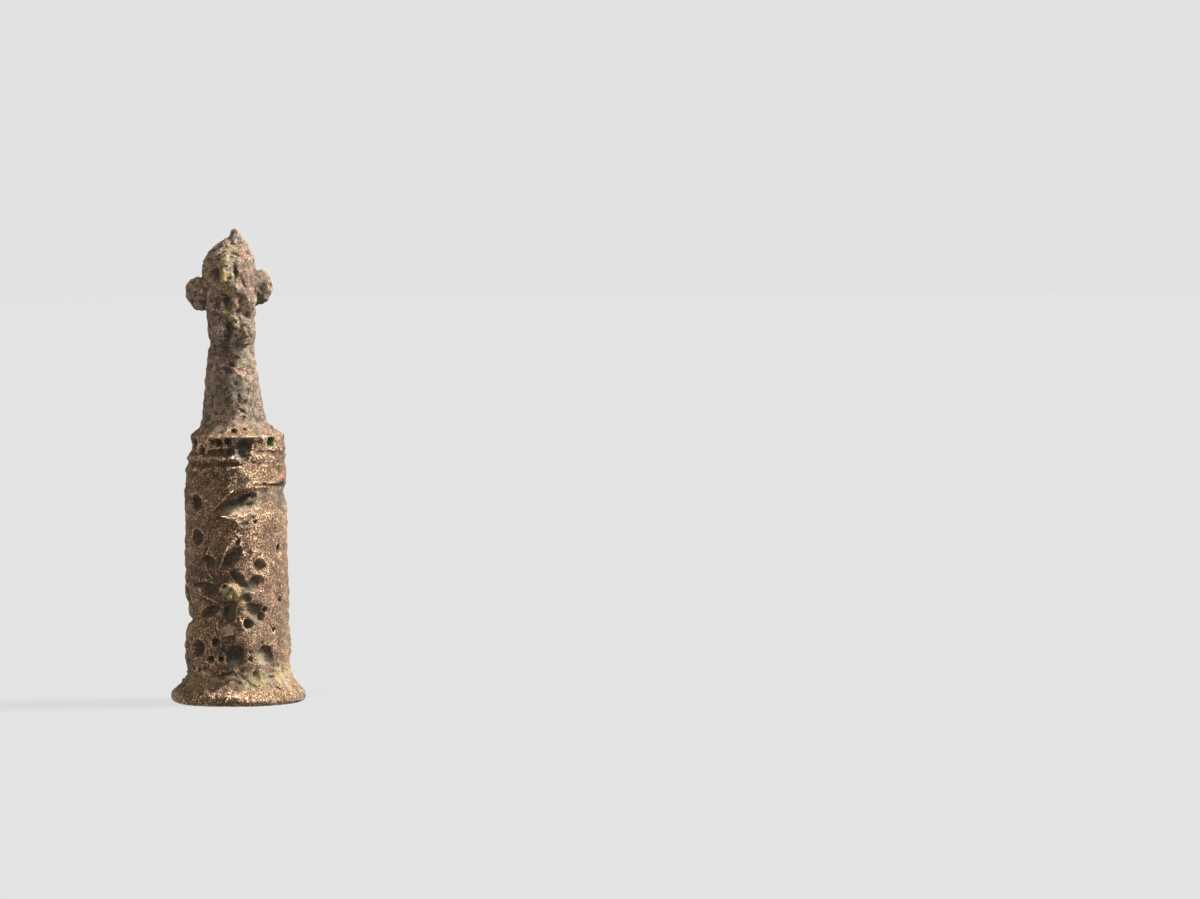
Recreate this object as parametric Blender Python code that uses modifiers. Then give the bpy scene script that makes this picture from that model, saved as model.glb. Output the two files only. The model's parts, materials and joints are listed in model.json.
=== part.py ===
"""A cast copper-alloy stamp-cylinder seal.

A flared foot carries a stamp design on its sole, the barrel above it is engraved all round with a rolling
design, and a tapering neck ends in a small animal's head with ears and a pointed crest. It is one casting.
Metres, +Z up, origin in the middle of the sole, and the head looks along -Y.
"""

import math

import bmesh
import bpy
from mathutils import Matrix, Vector

MM = 0.001

# Foot
SOLE_RADIUS = 6.0 * MM
FOOT_RADIUS = 6.4 * MM
RIM_HEIGHT = 1.2 * MM
FOOT_HEIGHT = 2.7 * MM

# Engraved barrel, a little wider towards the foot
BARREL_LOW_RADIUS = 4.9 * MM
BARREL_TOP_RADIUS = 4.68 * MM
FIELD_HEIGHT = 19.7 * MM

# Border above the engraved field: a groove, a ridge, a sunk band and the lip of the shoulder
GROOVE_WIDTH = 0.5 * MM
GROOVE_DEPTH = 0.16 * MM
RIDGE_WIDTH = 0.5 * MM
BAND_HEIGHT = 1.4 * MM
BAND_DEPTH = 0.30 * MM
LIP_HEIGHT = 0.35 * MM
LIP_DEPTH = 0.17 * MM

# Neck
NECK_HEIGHT = 8.5 * MM
NECK_FOOT_RADIUS = 2.92 * MM
NECK_TOP_RADIUS = 2.13 * MM
COLLAR_DEPTH = 0.14 * MM
SHOULDER_RISE = 2.2 * MM

# Head and crest
HEAD_HEIGHT = 10.1 * MM
CREST_HEIGHT = 1.0 * MM
CREST_RADIUS = 1.6 * MM
CREST_TIP_RADIUS = 0.16 * MM
CREST_SHIFT = 0.38 * MM

# Depths and sizes of the engraver's cuts
STROKE_DEPTH = 0.42 * MM
GLOBE_RADIUS = 0.98 * MM
GLOBE_DEPTH = 0.62 * MM
DOT_RADIUS = 0.42 * MM
DOT_DEPTH = 0.34 * MM
STAMP_DEPTH = 0.6 * MM

# How finely round forms are faceted
TURNED_STEPS = 40
HEAD_SIDES = 12
BLOCK_SIDES = 8
CUT_SIDES = 8
CUT_RINGS = 6
DOT_SIDES = 7
DOT_RINGS = 5
JOIN_OVERLAP = 1.2 * MM
MERGE_DISTANCE = 0.00001

# Heights that the sizes above add up to
FIELD_TOP = FOOT_HEIGHT + FIELD_HEIGHT
RIDGE_FOOT = FIELD_TOP + GROOVE_WIDTH
BAND_FOOT = RIDGE_FOOT + RIDGE_WIDTH
LIP_FOOT = BAND_FOOT + BAND_HEIGHT
SHOULDER_HEIGHT = LIP_FOOT + LIP_HEIGHT
HEAD_FOOT = SHOULDER_HEIGHT + NECK_HEIGHT
HEAD_TOP = HEAD_FOOT + HEAD_HEIGHT


def clear_scene():
    """Removes every object, so that the script can run again in an open file."""
    for existing in list(bpy.data.objects):
        bpy.data.objects.remove(existing)


def new_collection(name):
    """A fresh collection in the scene."""
    collection = bpy.data.collections.new(name)
    bpy.context.scene.collection.children.link(collection)
    return collection


def bronze():
    """Brown corroded bronze, worn to bare metal on the high places."""
    material = bpy.data.materials.new("corroded_bronze")
    material.use_nodes = True
    shader = material.node_tree.nodes["Principled BSDF"]
    shader.inputs["Base Color"].default_value = (0.19, 0.115, 0.068, 1.0)
    shader.inputs["Metallic"].default_value = 0.55
    shader.inputs["Roughness"].default_value = 0.5
    return material


def helper_object(name, shape, collection):
    """Makes an object from a bmesh, hidden from the render: it is a block to join or a cutter."""
    mesh = bpy.data.meshes.new(name)
    shape.normal_update()
    bmesh.ops.recalc_face_normals(shape, faces=shape.faces)
    shape.to_mesh(mesh)
    shape.free()
    helper = bpy.data.objects.new(name, mesh)
    helper.hide_render = True
    helper.display_type = "WIRE"
    collection.objects.link(helper)
    return helper


def curve_through(start, corner, end, steps):
    """Points from start to end on a smooth curve that leans towards the corner between them."""
    points = []
    for step in range(steps + 1):
        t = step / steps
        first = Vector(start).lerp(Vector(corner), t)
        second = Vector(corner).lerp(Vector(end), t)
        points.append(tuple(first.lerp(second, t)))
    return points


def barrel_radius(height):
    """Radius of the barrel's plain surface at a height, before any engraving."""
    share = (height - FOOT_HEIGHT) / FIELD_HEIGHT
    return BARREL_LOW_RADIUS + (BARREL_TOP_RADIUS - BARREL_LOW_RADIUS) * min(max(share, 0.0), 1.0)


def turned_profile():
    """Radius and height of the turned body, from inside the head down its outer side to the sole."""
    top = BARREL_TOP_RADIUS
    lip = top - LIP_DEPTH
    band = top - BAND_DEPTH
    neck_root = HEAD_FOOT + JOIN_OVERLAP
    shoulder = curve_through(
        (NECK_FOOT_RADIUS, SHOULDER_HEIGHT + SHOULDER_RISE),
        (NECK_FOOT_RADIUS * 1.03, SHOULDER_HEIGHT + 0.4 * SHOULDER_RISE),
        (lip, SHOULDER_HEIGHT),
        4,
    )
    flare = curve_through(
        (BARREL_LOW_RADIUS, FOOT_HEIGHT),
        (BARREL_LOW_RADIUS * 1.03, (FOOT_HEIGHT + RIM_HEIGHT) / 2),
        (0.95 * FOOT_RADIUS, RIM_HEIGHT),
        4,
    )
    rim = curve_through(
        (0.95 * FOOT_RADIUS, RIM_HEIGHT),
        (1.04 * FOOT_RADIUS, 0.4 * RIM_HEIGHT),
        (SOLE_RADIUS, 0),
        5,
    )
    return [
        (0, neck_root),
        (0.8 * NECK_TOP_RADIUS, neck_root),
        (NECK_TOP_RADIUS - COLLAR_DEPTH, HEAD_FOOT),
        (NECK_TOP_RADIUS, HEAD_FOOT - 2.5 * COLLAR_DEPTH),
        *shoulder,
        (lip, LIP_FOOT + 0.3 * LIP_HEIGHT),
        (band, LIP_FOOT),
        (band, BAND_FOOT + 0.1 * BAND_HEIGHT),
        (top - 0.02 * MM, BAND_FOOT - 0.3 * RIDGE_WIDTH),
        (top - 0.02 * MM, RIDGE_FOOT + 0.3 * RIDGE_WIDTH),
        (top - GROOVE_DEPTH, RIDGE_FOOT - 0.3 * GROOVE_WIDTH),
        (top - GROOVE_DEPTH, FIELD_TOP + 0.3 * GROOVE_WIDTH),
        (top, FIELD_TOP),
        *flare,
        *rim[1:],
        (0, 0),
    ]


def turned_body(material, collection):
    """The foot, barrel, shoulder and neck, as one profile turned about Z."""
    mesh = bpy.data.meshes.new("cylinder_seal")
    points = [(radius, 0, height) for radius, height in turned_profile()]
    mesh.from_pydata(points, [(i, i + 1) for i in range(len(points) - 1)], [])
    mesh.materials.append(material)
    seal = bpy.data.objects.new("cylinder_seal", mesh)
    collection.objects.link(seal)
    screw = seal.modifiers.new("turn", "SCREW")
    screw.steps = TURNED_STEPS
    screw.render_steps = TURNED_STEPS
    screw.use_merge_vertices = True
    screw.merge_threshold = MERGE_DISTANCE
    return seal


def boolean(seal, name, operation, others):
    """Joins or cuts everything in a collection, in one exact Boolean."""
    modifier = seal.modifiers.new(name, "BOOLEAN")
    modifier.operation = operation
    modifier.operand_type = "COLLECTION"
    modifier.collection = others
    modifier.solver = "EXACT"


# Blocks of the head, in shares of its height: x to the right, y to the back, z up from its chin

# Height, half width, reach to the front and reach to the back of the head's sections
HEAD_SECTIONS = (
    (-0.06, 0.150, 0.150, 0.150),
    (0.015, 0.220, 0.285, 0.222),
    (0.090, 0.230, 0.335, 0.232),
    (0.220, 0.222, 0.330, 0.238),
    (0.360, 0.232, 0.300, 0.250),
    (0.520, 0.256, 0.275, 0.268),
    (0.680, 0.262, 0.275, 0.272),
    (0.800, 0.256, 0.255, 0.262),
    (0.880, 0.206, 0.200, 0.210),
    (0.945, 0.138, 0.130, 0.140),
    (1.000, 0.060, 0.060, 0.060),
)
HEAD_LEAN = -0.038
FACE_SHIFT = -0.035


def head_point(x, y, z):
    """A place on the head, given in shares of its height: the head leans a little to the left."""
    return Vector(((x + HEAD_LEAN * z) * HEAD_HEIGHT, y * HEAD_HEIGHT, HEAD_FOOT + z * HEAD_HEIGHT))


def head_core(collection):
    """Skull, cheeks and muzzle in one: rings of unlike width and reach, joined upwards and smoothed."""
    shape = bmesh.new()
    rings = []
    for height, half_width, front, back in HEAD_SECTIONS:
        ring = []
        for side in range(HEAD_SIDES):
            angle = math.tau * side / HEAD_SIDES
            reach = back if math.sin(angle) > 0 else front
            place = head_point(half_width * math.cos(angle), reach * math.sin(angle), height)
            ring.append(shape.verts.new(place))
        rings.append(ring)
    for lower, upper in zip(rings, rings[1:]):
        for side in range(HEAD_SIDES):
            after = (side + 1) % HEAD_SIDES
            shape.faces.new((lower[side], lower[after], upper[after], upper[side]))
    shape.faces.new(rings[0])
    shape.faces.new(rings[-1])
    core = helper_object("head_core", shape, collection)
    smooth = core.modifiers.new("smooth", "SUBSURF")
    smooth.levels = 1
    smooth.render_levels = 1
    return core


def ellipsoid(name, centre, radii, collection, lean=0.0, turn=0.0, sides=BLOCK_SIDES):
    """A rounded block or hollow on the head: centre and radii in shares of its height, leaning about Y."""
    shape = bmesh.new()
    bmesh.ops.create_uvsphere(shape, u_segments=sides, v_segments=sides - 2, radius=1.0)
    size = Matrix.Diagonal([radius * HEAD_HEIGHT for radius in radii] + [1.0])
    turned = Matrix.Rotation(math.radians(turn), 4, "Z") @ Matrix.Rotation(math.radians(lean), 4, "Y")
    place = Matrix.Translation(head_point(*centre))
    bmesh.ops.transform(shape, matrix=place @ turned @ size, verts=shape.verts)
    return helper_object(name, shape, collection)


def crest(collection):
    """The stump of a pointed crest, a little to the right of the crown."""
    shape = bmesh.new()
    bmesh.ops.create_cone(
        shape,
        cap_ends=True,
        segments=HEAD_SIDES,
        radius1=CREST_RADIUS,
        radius2=CREST_TIP_RADIUS,
        depth=CREST_HEIGHT + JOIN_OVERLAP,
    )
    middle = HEAD_TOP + (CREST_HEIGHT - JOIN_OVERLAP) / 2
    bmesh.ops.translate(shape, vec=(0, 0, middle), verts=shape.verts)
    tip = max(vert.co.z for vert in shape.verts)
    for vert in shape.verts:
        vert.co.x += CREST_SHIFT if vert.co.z > tip - MERGE_DISTANCE else 0.3 * CREST_SHIFT
    return helper_object("crest", shape, collection)


def head_blocks(collection):
    """Everything that is joined to the turned body: skull, ears, brow, nose, cheeks and crest."""
    head_core(collection)
    crest(collection)
    ellipsoid("left_ear", (-0.292, -0.02, 0.485), (0.128, 0.085, 0.166), collection, -12, -12, sides=10)
    ellipsoid("right_ear", (0.276, -0.02, 0.540), (0.128, 0.085, 0.172), collection, 8, 12, sides=10)
    ellipsoid("nose_bridge", (FACE_SHIFT, -0.235, 0.70), (0.060, 0.080, 0.160), collection)
    ellipsoid("left_nostril", (-0.105, -0.200, 0.13), (0.100, 0.120, 0.130), collection)
    ellipsoid("right_nostril", (0.110, -0.200, 0.13), (0.110, 0.125, 0.140), collection)
    ellipsoid("right_cheek", (0.160, -0.150, 0.42), (0.080, 0.115, 0.190), collection, lean=-8)
    ellipsoid("left_cheek", (-0.155, -0.150, 0.40), (0.080, 0.115, 0.180), collection, lean=8)


def head_cuts(collection):
    """Eye hollows beside the nose bridge, the hollow and cleft of the muzzle, and the dished ears."""
    ellipsoid("left_eye", (FACE_SHIFT - 0.112, -0.240, 0.700), (0.064, 0.066, 0.115), collection, lean=10)
    ellipsoid("right_eye", (FACE_SHIFT + 0.098, -0.265, 0.715), (0.046, 0.055, 0.088), collection, lean=-8)
    ellipsoid("muzzle_hollow", (FACE_SHIFT, -0.290, 0.41), (0.058, 0.060, 0.090), collection)
    ellipsoid("muzzle_cleft", (FACE_SHIFT + 0.01, -0.330, 0.16), (0.036, 0.066, 0.180), collection)
    ellipsoid("left_ear_dish", (-0.312, -0.112, 0.480), (0.058, 0.026, 0.095), collection, lean=-12, turn=-12)
    ellipsoid("right_ear_dish", (0.296, -0.112, 0.535), (0.058, 0.026, 0.100), collection, lean=8, turn=12)
    ellipsoid("throat_pit", (0.005, -0.222, -0.175), (0.040, 0.040, 0.032), collection)


# Engraving: places are an angle round the barrel, 0 at the front and growing to the right, and a share of the
# field's height; sizes are real. A cut is modelled on the flat and wrapped round the barrel.


def field(share):
    """Height of a share of the engraved field."""
    return FOOT_HEIGHT + share * FIELD_HEIGHT


def wrap(shape, angle, height, tilt, half_length, half_width, depth, fullness):
    """Shapes a unit sphere into a boat-like cut and lays it on the barrel.

    The sphere's poles become the ends of the cut. Fullness 2 gives pointed ends, and 6 gives blunt ones.
    """
    lean = math.radians(tilt)
    surface = barrel_radius(height)
    for vert in shape.verts:
        along = vert.co.z
        round_part = Vector((vert.co.x, vert.co.y))
        fill = 1 - abs(along) ** fullness
        if round_part.length > 1e-6:
            round_part = round_part.normalized() * fill
        along *= half_length
        across = round_part.x * half_width
        right = along * math.cos(lean) - across * math.sin(lean)
        up = along * math.sin(lean) + across * math.cos(lean)
        turn = math.radians(angle) + right / surface
        radius = barrel_radius(height + up) + round_part.y * depth
        vert.co = (radius * math.sin(turn), -radius * math.cos(turn), height + up)


def stroke(
    name,
    angle,
    height,
    half_length,
    half_width,
    collection,
    tilt=0.0,
    depth=STROKE_DEPTH,
    fullness=2,
    rings=CUT_RINGS,
):
    """One cut of the graver, tilted up from level by an angle in degrees."""
    shape = bmesh.new()
    bmesh.ops.create_uvsphere(shape, u_segments=CUT_SIDES, v_segments=rings, radius=1.0)
    wrap(shape, angle, height, tilt, half_length, half_width, depth, fullness)
    return helper_object(name, shape, collection)


def drilling(name, angle, height, radius, depth, collection):
    """One round hollow of the drill: a squashed ball, half of it inside the metal."""
    shape = bmesh.new()
    large = radius > 0.6 * GLOBE_RADIUS
    sides = CUT_SIDES + 2 if large else DOT_SIDES
    rings = CUT_RINGS if large else DOT_RINGS
    bmesh.ops.create_uvsphere(shape, u_segments=sides, v_segments=rings, radius=1.0)
    size = Matrix.Diagonal((radius, depth, radius, 1.0))
    outwards = Matrix.Translation((0, -barrel_radius(height), height))
    turned = Matrix.Rotation(math.radians(angle), 4, "Z")
    bmesh.ops.transform(shape, matrix=turned @ outwards @ size, verts=shape.verts)
    return helper_object(name, shape, collection)


# Turn from the star's middle in degrees, rise above it, half length, half width (mm) and tilt of each ray
STAR_RAYS = (
    (-1, 2.95, 1.55, 0.72, 52),
    (-29, 2.70, 0.80, 0.60, -35),
    (31, 2.25, 0.85, 0.64, -12),
    (-30, 0.10, 1.25, 0.66, -20),
    (25, 0.45, 1.30, 0.84, 22),
    (-28, -2.05, 1.15, 0.60, 24),
    (-5, -2.25, 1.05, 0.84, 80),
    (24, -2.10, 1.60, 0.76, -44),
    (6, 1.00, 1.30, 0.46, -50),
)


def star(collection, angle=-4, share=0.416):
    """Uneven short cuts round a knob of standing metal."""
    for ray, (turn, rise, half_length, half_width, tilt) in enumerate(STAR_RAYS):
        height = field(share) + rise * MM
        stroke(f"star_ray_{ray}", angle + turn, height, half_length * MM, half_width * MM, collection, tilt)


def lozenge(collection, angle=43, share=0.845):
    """The long leaf, two bowed cuts that meet in points at both ends."""
    stroke(
        "lozenge",
        angle,
        field(share),
        5.80 * MM,
        1.38 * MM,
        collection,
        tilt=5,
        depth=0.36 * MM,
        fullness=3,
        rings=14,
    )


# Angle, share of the field's height and relative size of the drillings
LARGE_GLOBES = (
    (32, 0.095, 1.02),
    (-2, 0.096, 1.08),
    (-49, 0.132, 0.88),
    (-52, 0.826, 0.84),
    (-50, 0.662, 0.80),
    (-88, 0.925, 0.80),
)
SMALL_GLOBES = (
    (-74, 0.143, 1.0),
    (-72, 0.069, 0.9),
    (-114, 0.125, 1.3),
    (-81, 0.622, 1.0),
    (-111, 0.582, 1.4),
    (-112, 0.447, 0.9),
    (-83, 0.512, 0.9),
    (-25, 0.167, 1.0),
    (11, 0.253, 1.1),
    (44, 0.217, 0.6),
    (-31, 0.083, 0.9),
    (-19, 0.084, 0.65),
    (57, 0.604, 1.2),
)


def globes(collection):
    """Large and small drillings strewn over the field."""
    for number, (angle, share, size) in enumerate(LARGE_GLOBES):
        drilling(f"globe_{number}", angle, field(share), size * GLOBE_RADIUS, GLOBE_DEPTH, collection)
    for number, (angle, share, size) in enumerate(SMALL_GLOBES):
        drilling(f"small_globe_{number}", angle, field(share), size * DOT_RADIUS, DOT_DEPTH, collection)


def triangle_on_stand(collection, angle=-83, share=0.357):
    """A triangle on a bent stem with a foot, cut with single strokes."""
    half_width = 2.7 * MM
    half_height = 1.9 * MM
    surface = barrel_radius(field(share))
    slope = math.degrees(math.atan2(2 * half_height, half_width))
    side_length = math.hypot(half_height, half_width / 2)
    middle = math.degrees(half_width / 2 / surface)
    grooves = (
        ("triangle_right", angle + middle, field(share), side_length, 0.36, -slope),
        ("triangle_left", angle - middle, field(share), side_length, 0.36, slope),
        ("triangle_foot", angle, field(share) - half_height, half_width, 0.44, 0),
        ("stand_stem", angle - 7, field(0.13), 1.6 * MM, 0.36, 105),
        ("stand_foot", angle - 34, field(0.065), 1.7 * MM, 0.40, 4),
    )
    for name, turn, height, half_length, half_breadth, tilt in grooves:
        stroke(name, turn, height, half_length, half_breadth * MM, collection, tilt=tilt, fullness=4)


def staff(collection):
    """The slanting bar between the globes and the standing figure."""
    stroke("staff", -117, field(0.755), 3.3 * MM, 0.34 * MM, collection, tilt=35, depth=0.3 * MM, fullness=4)


def standing_figure(collection, angle=180):
    """A robed figure at the back: head, raised arm, trunk, long skirt and its tiers."""
    limbs = (
        ("figure_head", 2, 0.860, 0.95, 0.85, 80, 0.50),
        ("figure_cap", 5, 0.940, 1.70, 0.36, -4, 0.42),
        ("figure_arm", -35, 0.845, 2.20, 0.40, 42, 0.42),
        ("figure_trunk", -2, 0.672, 2.60, 1.05, 86, 0.50),
        ("figure_skirt", -4, 0.332, 4.30, 1.20, 93, 0.48),
    )
    for name, turn, share, half_length, half_width, tilt, depth in limbs:
        place = (angle + turn, field(share))
        size = (half_length * MM, half_width * MM)
        stroke(name, *place, *size, collection, tilt=tilt, depth=depth * MM, fullness=4)
    for tier in range(5):
        place = (angle + 17, field(0.17 + 0.085 * tier))
        stroke(f"skirt_tier_{tier}", *place, 1.15 * MM, 0.26 * MM, collection, tilt=6, depth=0.32 * MM)


def palm_tree(collection, angle=119):
    """A tall trunk between two rows of drilled fruit."""
    size = (7.6 * MM, 1.02 * MM)
    stroke("palm_trunk", angle, field(0.40), *size, collection, tilt=93, depth=0.5 * MM, fullness=6, rings=8)
    rows = (("left", angle - 25, 5, 0.42), ("right", angle + 22, 8, 0.20))
    for side, turn, count, lowest in rows:
        for dot in range(count):
            height = field(lowest + 0.068 * dot)
            drilling(f"{side}_fruit_{dot}", turn, height, DOT_RADIUS, DOT_DEPTH, collection)


# Angle, share of the band's height and size of the pits that the front shows
BAND_PITS = (
    (-61, 0.82, 0.42),
    (-42, 0.45, 0.44),
    (-33, 0.88, 0.28),
    (-22, 0.90, 0.34),
    (-9, 0.92, 0.32),
    (8, 0.45, 0.80),
    (45, 0.86, 0.46),
)
HIDDEN_PITS = 4


def band_notches(collection):
    """Pits in the sunk band under the lip: as the front shows them, and at even steps round the back."""
    depth = BAND_DEPTH + 0.25 * MM
    pits = list(BAND_PITS)
    for pit in range(HIDDEN_PITS):
        pits.append((78 + 47 * pit, 0.64, 0.42 + 0.16 * math.sin(2.4 * pit)))
    for number, (angle, share, size) in enumerate(pits):
        drilling(f"band_pit_{number}", angle, BAND_FOOT + share * BAND_HEIGHT, size * MM, depth, collection)


def stamp(collection):
    """The sole's design: three fat lobes and a stalk, pressed like petals towards the middle."""
    lobes = (
        ("upper_lobe", (-0.85, 2.20), (2.05, 1.70), 62),
        ("left_lobe", (-3.15, -1.50), (1.60, 1.15), 70),
        ("right_lobe", (1.80, -1.50), (1.70, 1.60), 20),
        ("stalk", (-0.90, -3.60), (1.85, 0.48), 112),
        ("leaflet", (-2.10, -3.75), (0.75, 0.50), 60),
        ("left_vein", (-2.30, 0.75), (1.25, 0.40), 50),
    )
    for name, (x, y), (half_length, half_width), turn in lobes:
        shape = bmesh.new()
        bmesh.ops.create_uvsphere(shape, u_segments=CUT_SIDES + 2, v_segments=CUT_RINGS, radius=1.0)
        size = Matrix.Diagonal((half_length * MM, half_width * MM, STAMP_DEPTH, 1.0))
        place = Matrix.Translation((x * MM, y * MM, 0)) @ Matrix.Rotation(math.radians(turn), 4, "Z")
        bmesh.ops.transform(shape, matrix=place @ size, verts=shape.verts)
        helper_object(name, shape, collection)


def main():
    """Builds the seal: the turned body, joined to the head's blocks and then engraved."""
    clear_scene()
    parts = new_collection("cylinder_seal")
    blocks = new_collection("joined_blocks")
    cutters = new_collection("cutters")
    seal = turned_body(bronze(), parts)
    head_blocks(blocks)
    head_cuts(cutters)
    star(cutters)
    lozenge(cutters)
    globes(cutters)
    triangle_on_stand(cutters)
    staff(cutters)
    standing_figure(cutters)
    palm_tree(cutters)
    band_notches(cutters)
    stamp(cutters)
    boolean(seal, "join_head", "UNION", blocks)
    boolean(seal, "engrave", "DIFFERENCE", cutters)


main()
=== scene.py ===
"""Scene of an ancient bronze cylinder seal, standing on its flared stamp foot.

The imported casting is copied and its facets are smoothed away. The finer marks of graver and drill are pressed
in, and its surface is corroded and dusted with soil. Everything is in metres, with the sole on the floor.
"""

from __future__ import annotations

import json
import logging
import math
from dataclasses import dataclass
from enum import Enum
from functools import partial
from typing import Any

import bmesh
import bpy
import numpy as np
from mathutils import Euler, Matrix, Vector

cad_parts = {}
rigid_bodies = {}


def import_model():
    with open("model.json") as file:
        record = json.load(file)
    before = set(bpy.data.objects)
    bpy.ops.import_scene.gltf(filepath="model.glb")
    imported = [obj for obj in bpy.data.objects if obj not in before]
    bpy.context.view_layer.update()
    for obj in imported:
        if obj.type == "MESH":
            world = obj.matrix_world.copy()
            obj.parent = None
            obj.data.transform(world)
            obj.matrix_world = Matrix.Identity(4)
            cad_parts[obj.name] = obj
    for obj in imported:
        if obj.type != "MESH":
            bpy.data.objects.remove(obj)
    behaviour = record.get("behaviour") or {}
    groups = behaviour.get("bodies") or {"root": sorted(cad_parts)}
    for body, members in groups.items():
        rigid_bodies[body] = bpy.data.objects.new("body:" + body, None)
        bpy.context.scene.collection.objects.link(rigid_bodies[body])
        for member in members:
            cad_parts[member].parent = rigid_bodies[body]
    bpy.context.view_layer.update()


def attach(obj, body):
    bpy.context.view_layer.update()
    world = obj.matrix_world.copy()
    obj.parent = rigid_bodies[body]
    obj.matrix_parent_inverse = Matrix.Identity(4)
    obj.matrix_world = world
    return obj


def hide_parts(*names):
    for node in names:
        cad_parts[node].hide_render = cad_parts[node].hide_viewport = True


MM = 0.001
LOG = logging.getLogger("cylinder_seal")

# Blender's names for the nodes that the trees use most
MATH = "ShaderNodeMath"
VECTOR_MATH = "ShaderNodeVectorMath"
RANGE = "ShaderNodeMapRange"
MIX = "ShaderNodeMix"
NOISE = "ShaderNodeTexNoise"
NAMED_ATTRIBUTE = "GeometryNodeInputNamedAttribute"
STORE_ATTRIBUTE = "GeometryNodeStoreNamedAttribute"

# Inputs are given by number where their names repeat. A range takes its value as 0, its low and high ends as
# 1 and 2, and what they become as 3 and 4. A mix of colours takes its share as 0, and its colours as 6 and 7.

# Settings that many nodes share
TIMES_PLUS = {"operation": "MULTIPLY_ADD"}
TIMES = {"operation": "MULTIPLY"}
DIVIDED = {"operation": "DIVIDE"}
MINUS = {"operation": "SUBTRACT"}
LARGER = {"operation": "MAXIMUM"}
SCALED = {"operation": "SCALE"}
SOFT_STEP = {"interpolation_type": "SMOOTHSTEP"}
COLOURS = {"data_type": "RGBA"}
NUMBERS = {"data_type": "FLOAT"}


def linear(hex_colour: str) -> tuple[float, float, float, float]:
    """Turns an sRGB hex colour into linear values.

    Args:
        hex_colour: Six hex digits after a hash sign.

    Returns:
        Linear red, green and blue, and an alpha of one.
    """
    parts = [int(hex_colour[i : i + 2], 16) / 255 for i in (1, 3, 5)]
    straight = [c / 12.92 if c <= 0.04045 else ((c + 0.055) / 1.055) ** 2.4 for c in parts]
    return (straight[0], straight[1], straight[2], 1.0)


def add_node(
    tree: bpy.types.NodeTree,
    kind: str,
    settings: dict[str, Any] | None = None,
    inputs: dict[str | int, Any] | None = None,
) -> bpy.types.Node:
    """Adds one node with its settings and what feeds its inputs.

    Args:
        tree: The tree that gets the node.
        kind: Blender's name for the type of node.
        settings: Values of the node's own properties.
        inputs: A value or another node's output for each input, by name or number.

    Returns:
        The new node.
    """
    node = tree.nodes.new(kind)
    for name, value in (settings or {}).items():
        setattr(node, name, value)
    for key, value in (inputs or {}).items():
        if isinstance(value, bpy.types.NodeSocket):
            tree.links.new(value, node.inputs[key])
        else:
            node.inputs[key].default_value = value
    return node


def new_geometry_tree(name: str, sockets: dict[str, str]) -> tuple[bpy.types.NodeTree, bpy.types.Node]:
    """Starts a Geometry Nodes tree with a geometry input and output and named inputs.

    Args:
        name: Name of the tree.
        sockets: Socket type of each further input, by its name.

    Returns:
        The tree and its Group Input node.
    """
    tree = bpy.data.node_groups.new(name, "GeometryNodeTree")
    tree.interface.new_socket("Geometry", in_out="OUTPUT", socket_type="NodeSocketGeometry")
    tree.interface.new_socket("Geometry", in_out="INPUT", socket_type="NodeSocketGeometry")
    for socket, kind in sockets.items():
        tree.interface.new_socket(socket, in_out="INPUT", socket_type=kind)
    return tree, tree.nodes.new("NodeGroupInput")


def grow(
    piece: bpy.types.Object, tree: bpy.types.NodeTree, values: dict[str, Any], name: str
) -> bpy.types.Object:
    """Runs a Geometry Nodes tree on an object and keeps the result as a plain mesh.

    Args:
        piece: The object whose mesh goes into the tree.
        tree: The tree to run.
        values: Value of each named input.
        name: Name of the finished object.

    Returns:
        A new object at the origin with the finished mesh.
    """
    modifier = piece.modifiers.new(tree.name, "NODES")
    modifier.node_group = tree
    for item in tree.interface.items_tree:
        if item.in_out == "INPUT" and item.name in values:
            modifier[item.identifier] = values[item.name]
    grown = evaluated_copy(piece, name)
    piece.modifiers.remove(modifier)
    return grown


def evaluated_copy(piece: bpy.types.Object, name: str) -> bpy.types.Object:
    """Makes a plain mesh object from an object with live modifiers.

    Args:
        piece: The object to evaluate.
        name: Name of the new object and mesh.

    Returns:
        The new object, linked to the scene.
    """
    graph = bpy.context.evaluated_depsgraph_get()
    mesh = bpy.data.meshes.new_from_object(piece.evaluated_get(graph), depsgraph=graph)
    mesh.name = name
    made = bpy.data.objects.new(name, mesh)
    bpy.context.scene.collection.objects.link(made)
    return made


class Weathering(Enum):
    """How badly a stretch of the casting is corroded."""

    WORN = "worn"
    PITTED = "pitted"
    LUMPY = "lumpy"


@dataclass(frozen=True)
class Mark:
    """One small hollow or rise pressed into the metal.

    Angles are degrees round the axis, 0 at the front and growing to the right; sizes are millimetres, and a
    negative depth stands out.
    """

    angle: float
    height: float
    half_width: float
    half_height: float
    depth: float
    tilt: float = 0.0
    sharpness: float = 1.0


@dataclass(frozen=True)
class Patch:
    """A soft spot on the surface: where it is, how wide, how strong and how much taller than wide.

    The angle is in degrees, as a mark's is, and the height and radius are in millimetres.
    """

    angle: float
    height: float
    radius: float
    strength: float = 1.0
    stretch: float = 1.0


@dataclass(frozen=True)
class StainAndPaintedLight(Patch):
    """A patch of coloured corrosion or soil; a few of them are painted light and shade instead."""

    colour: str = "#A1954F"


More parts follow.
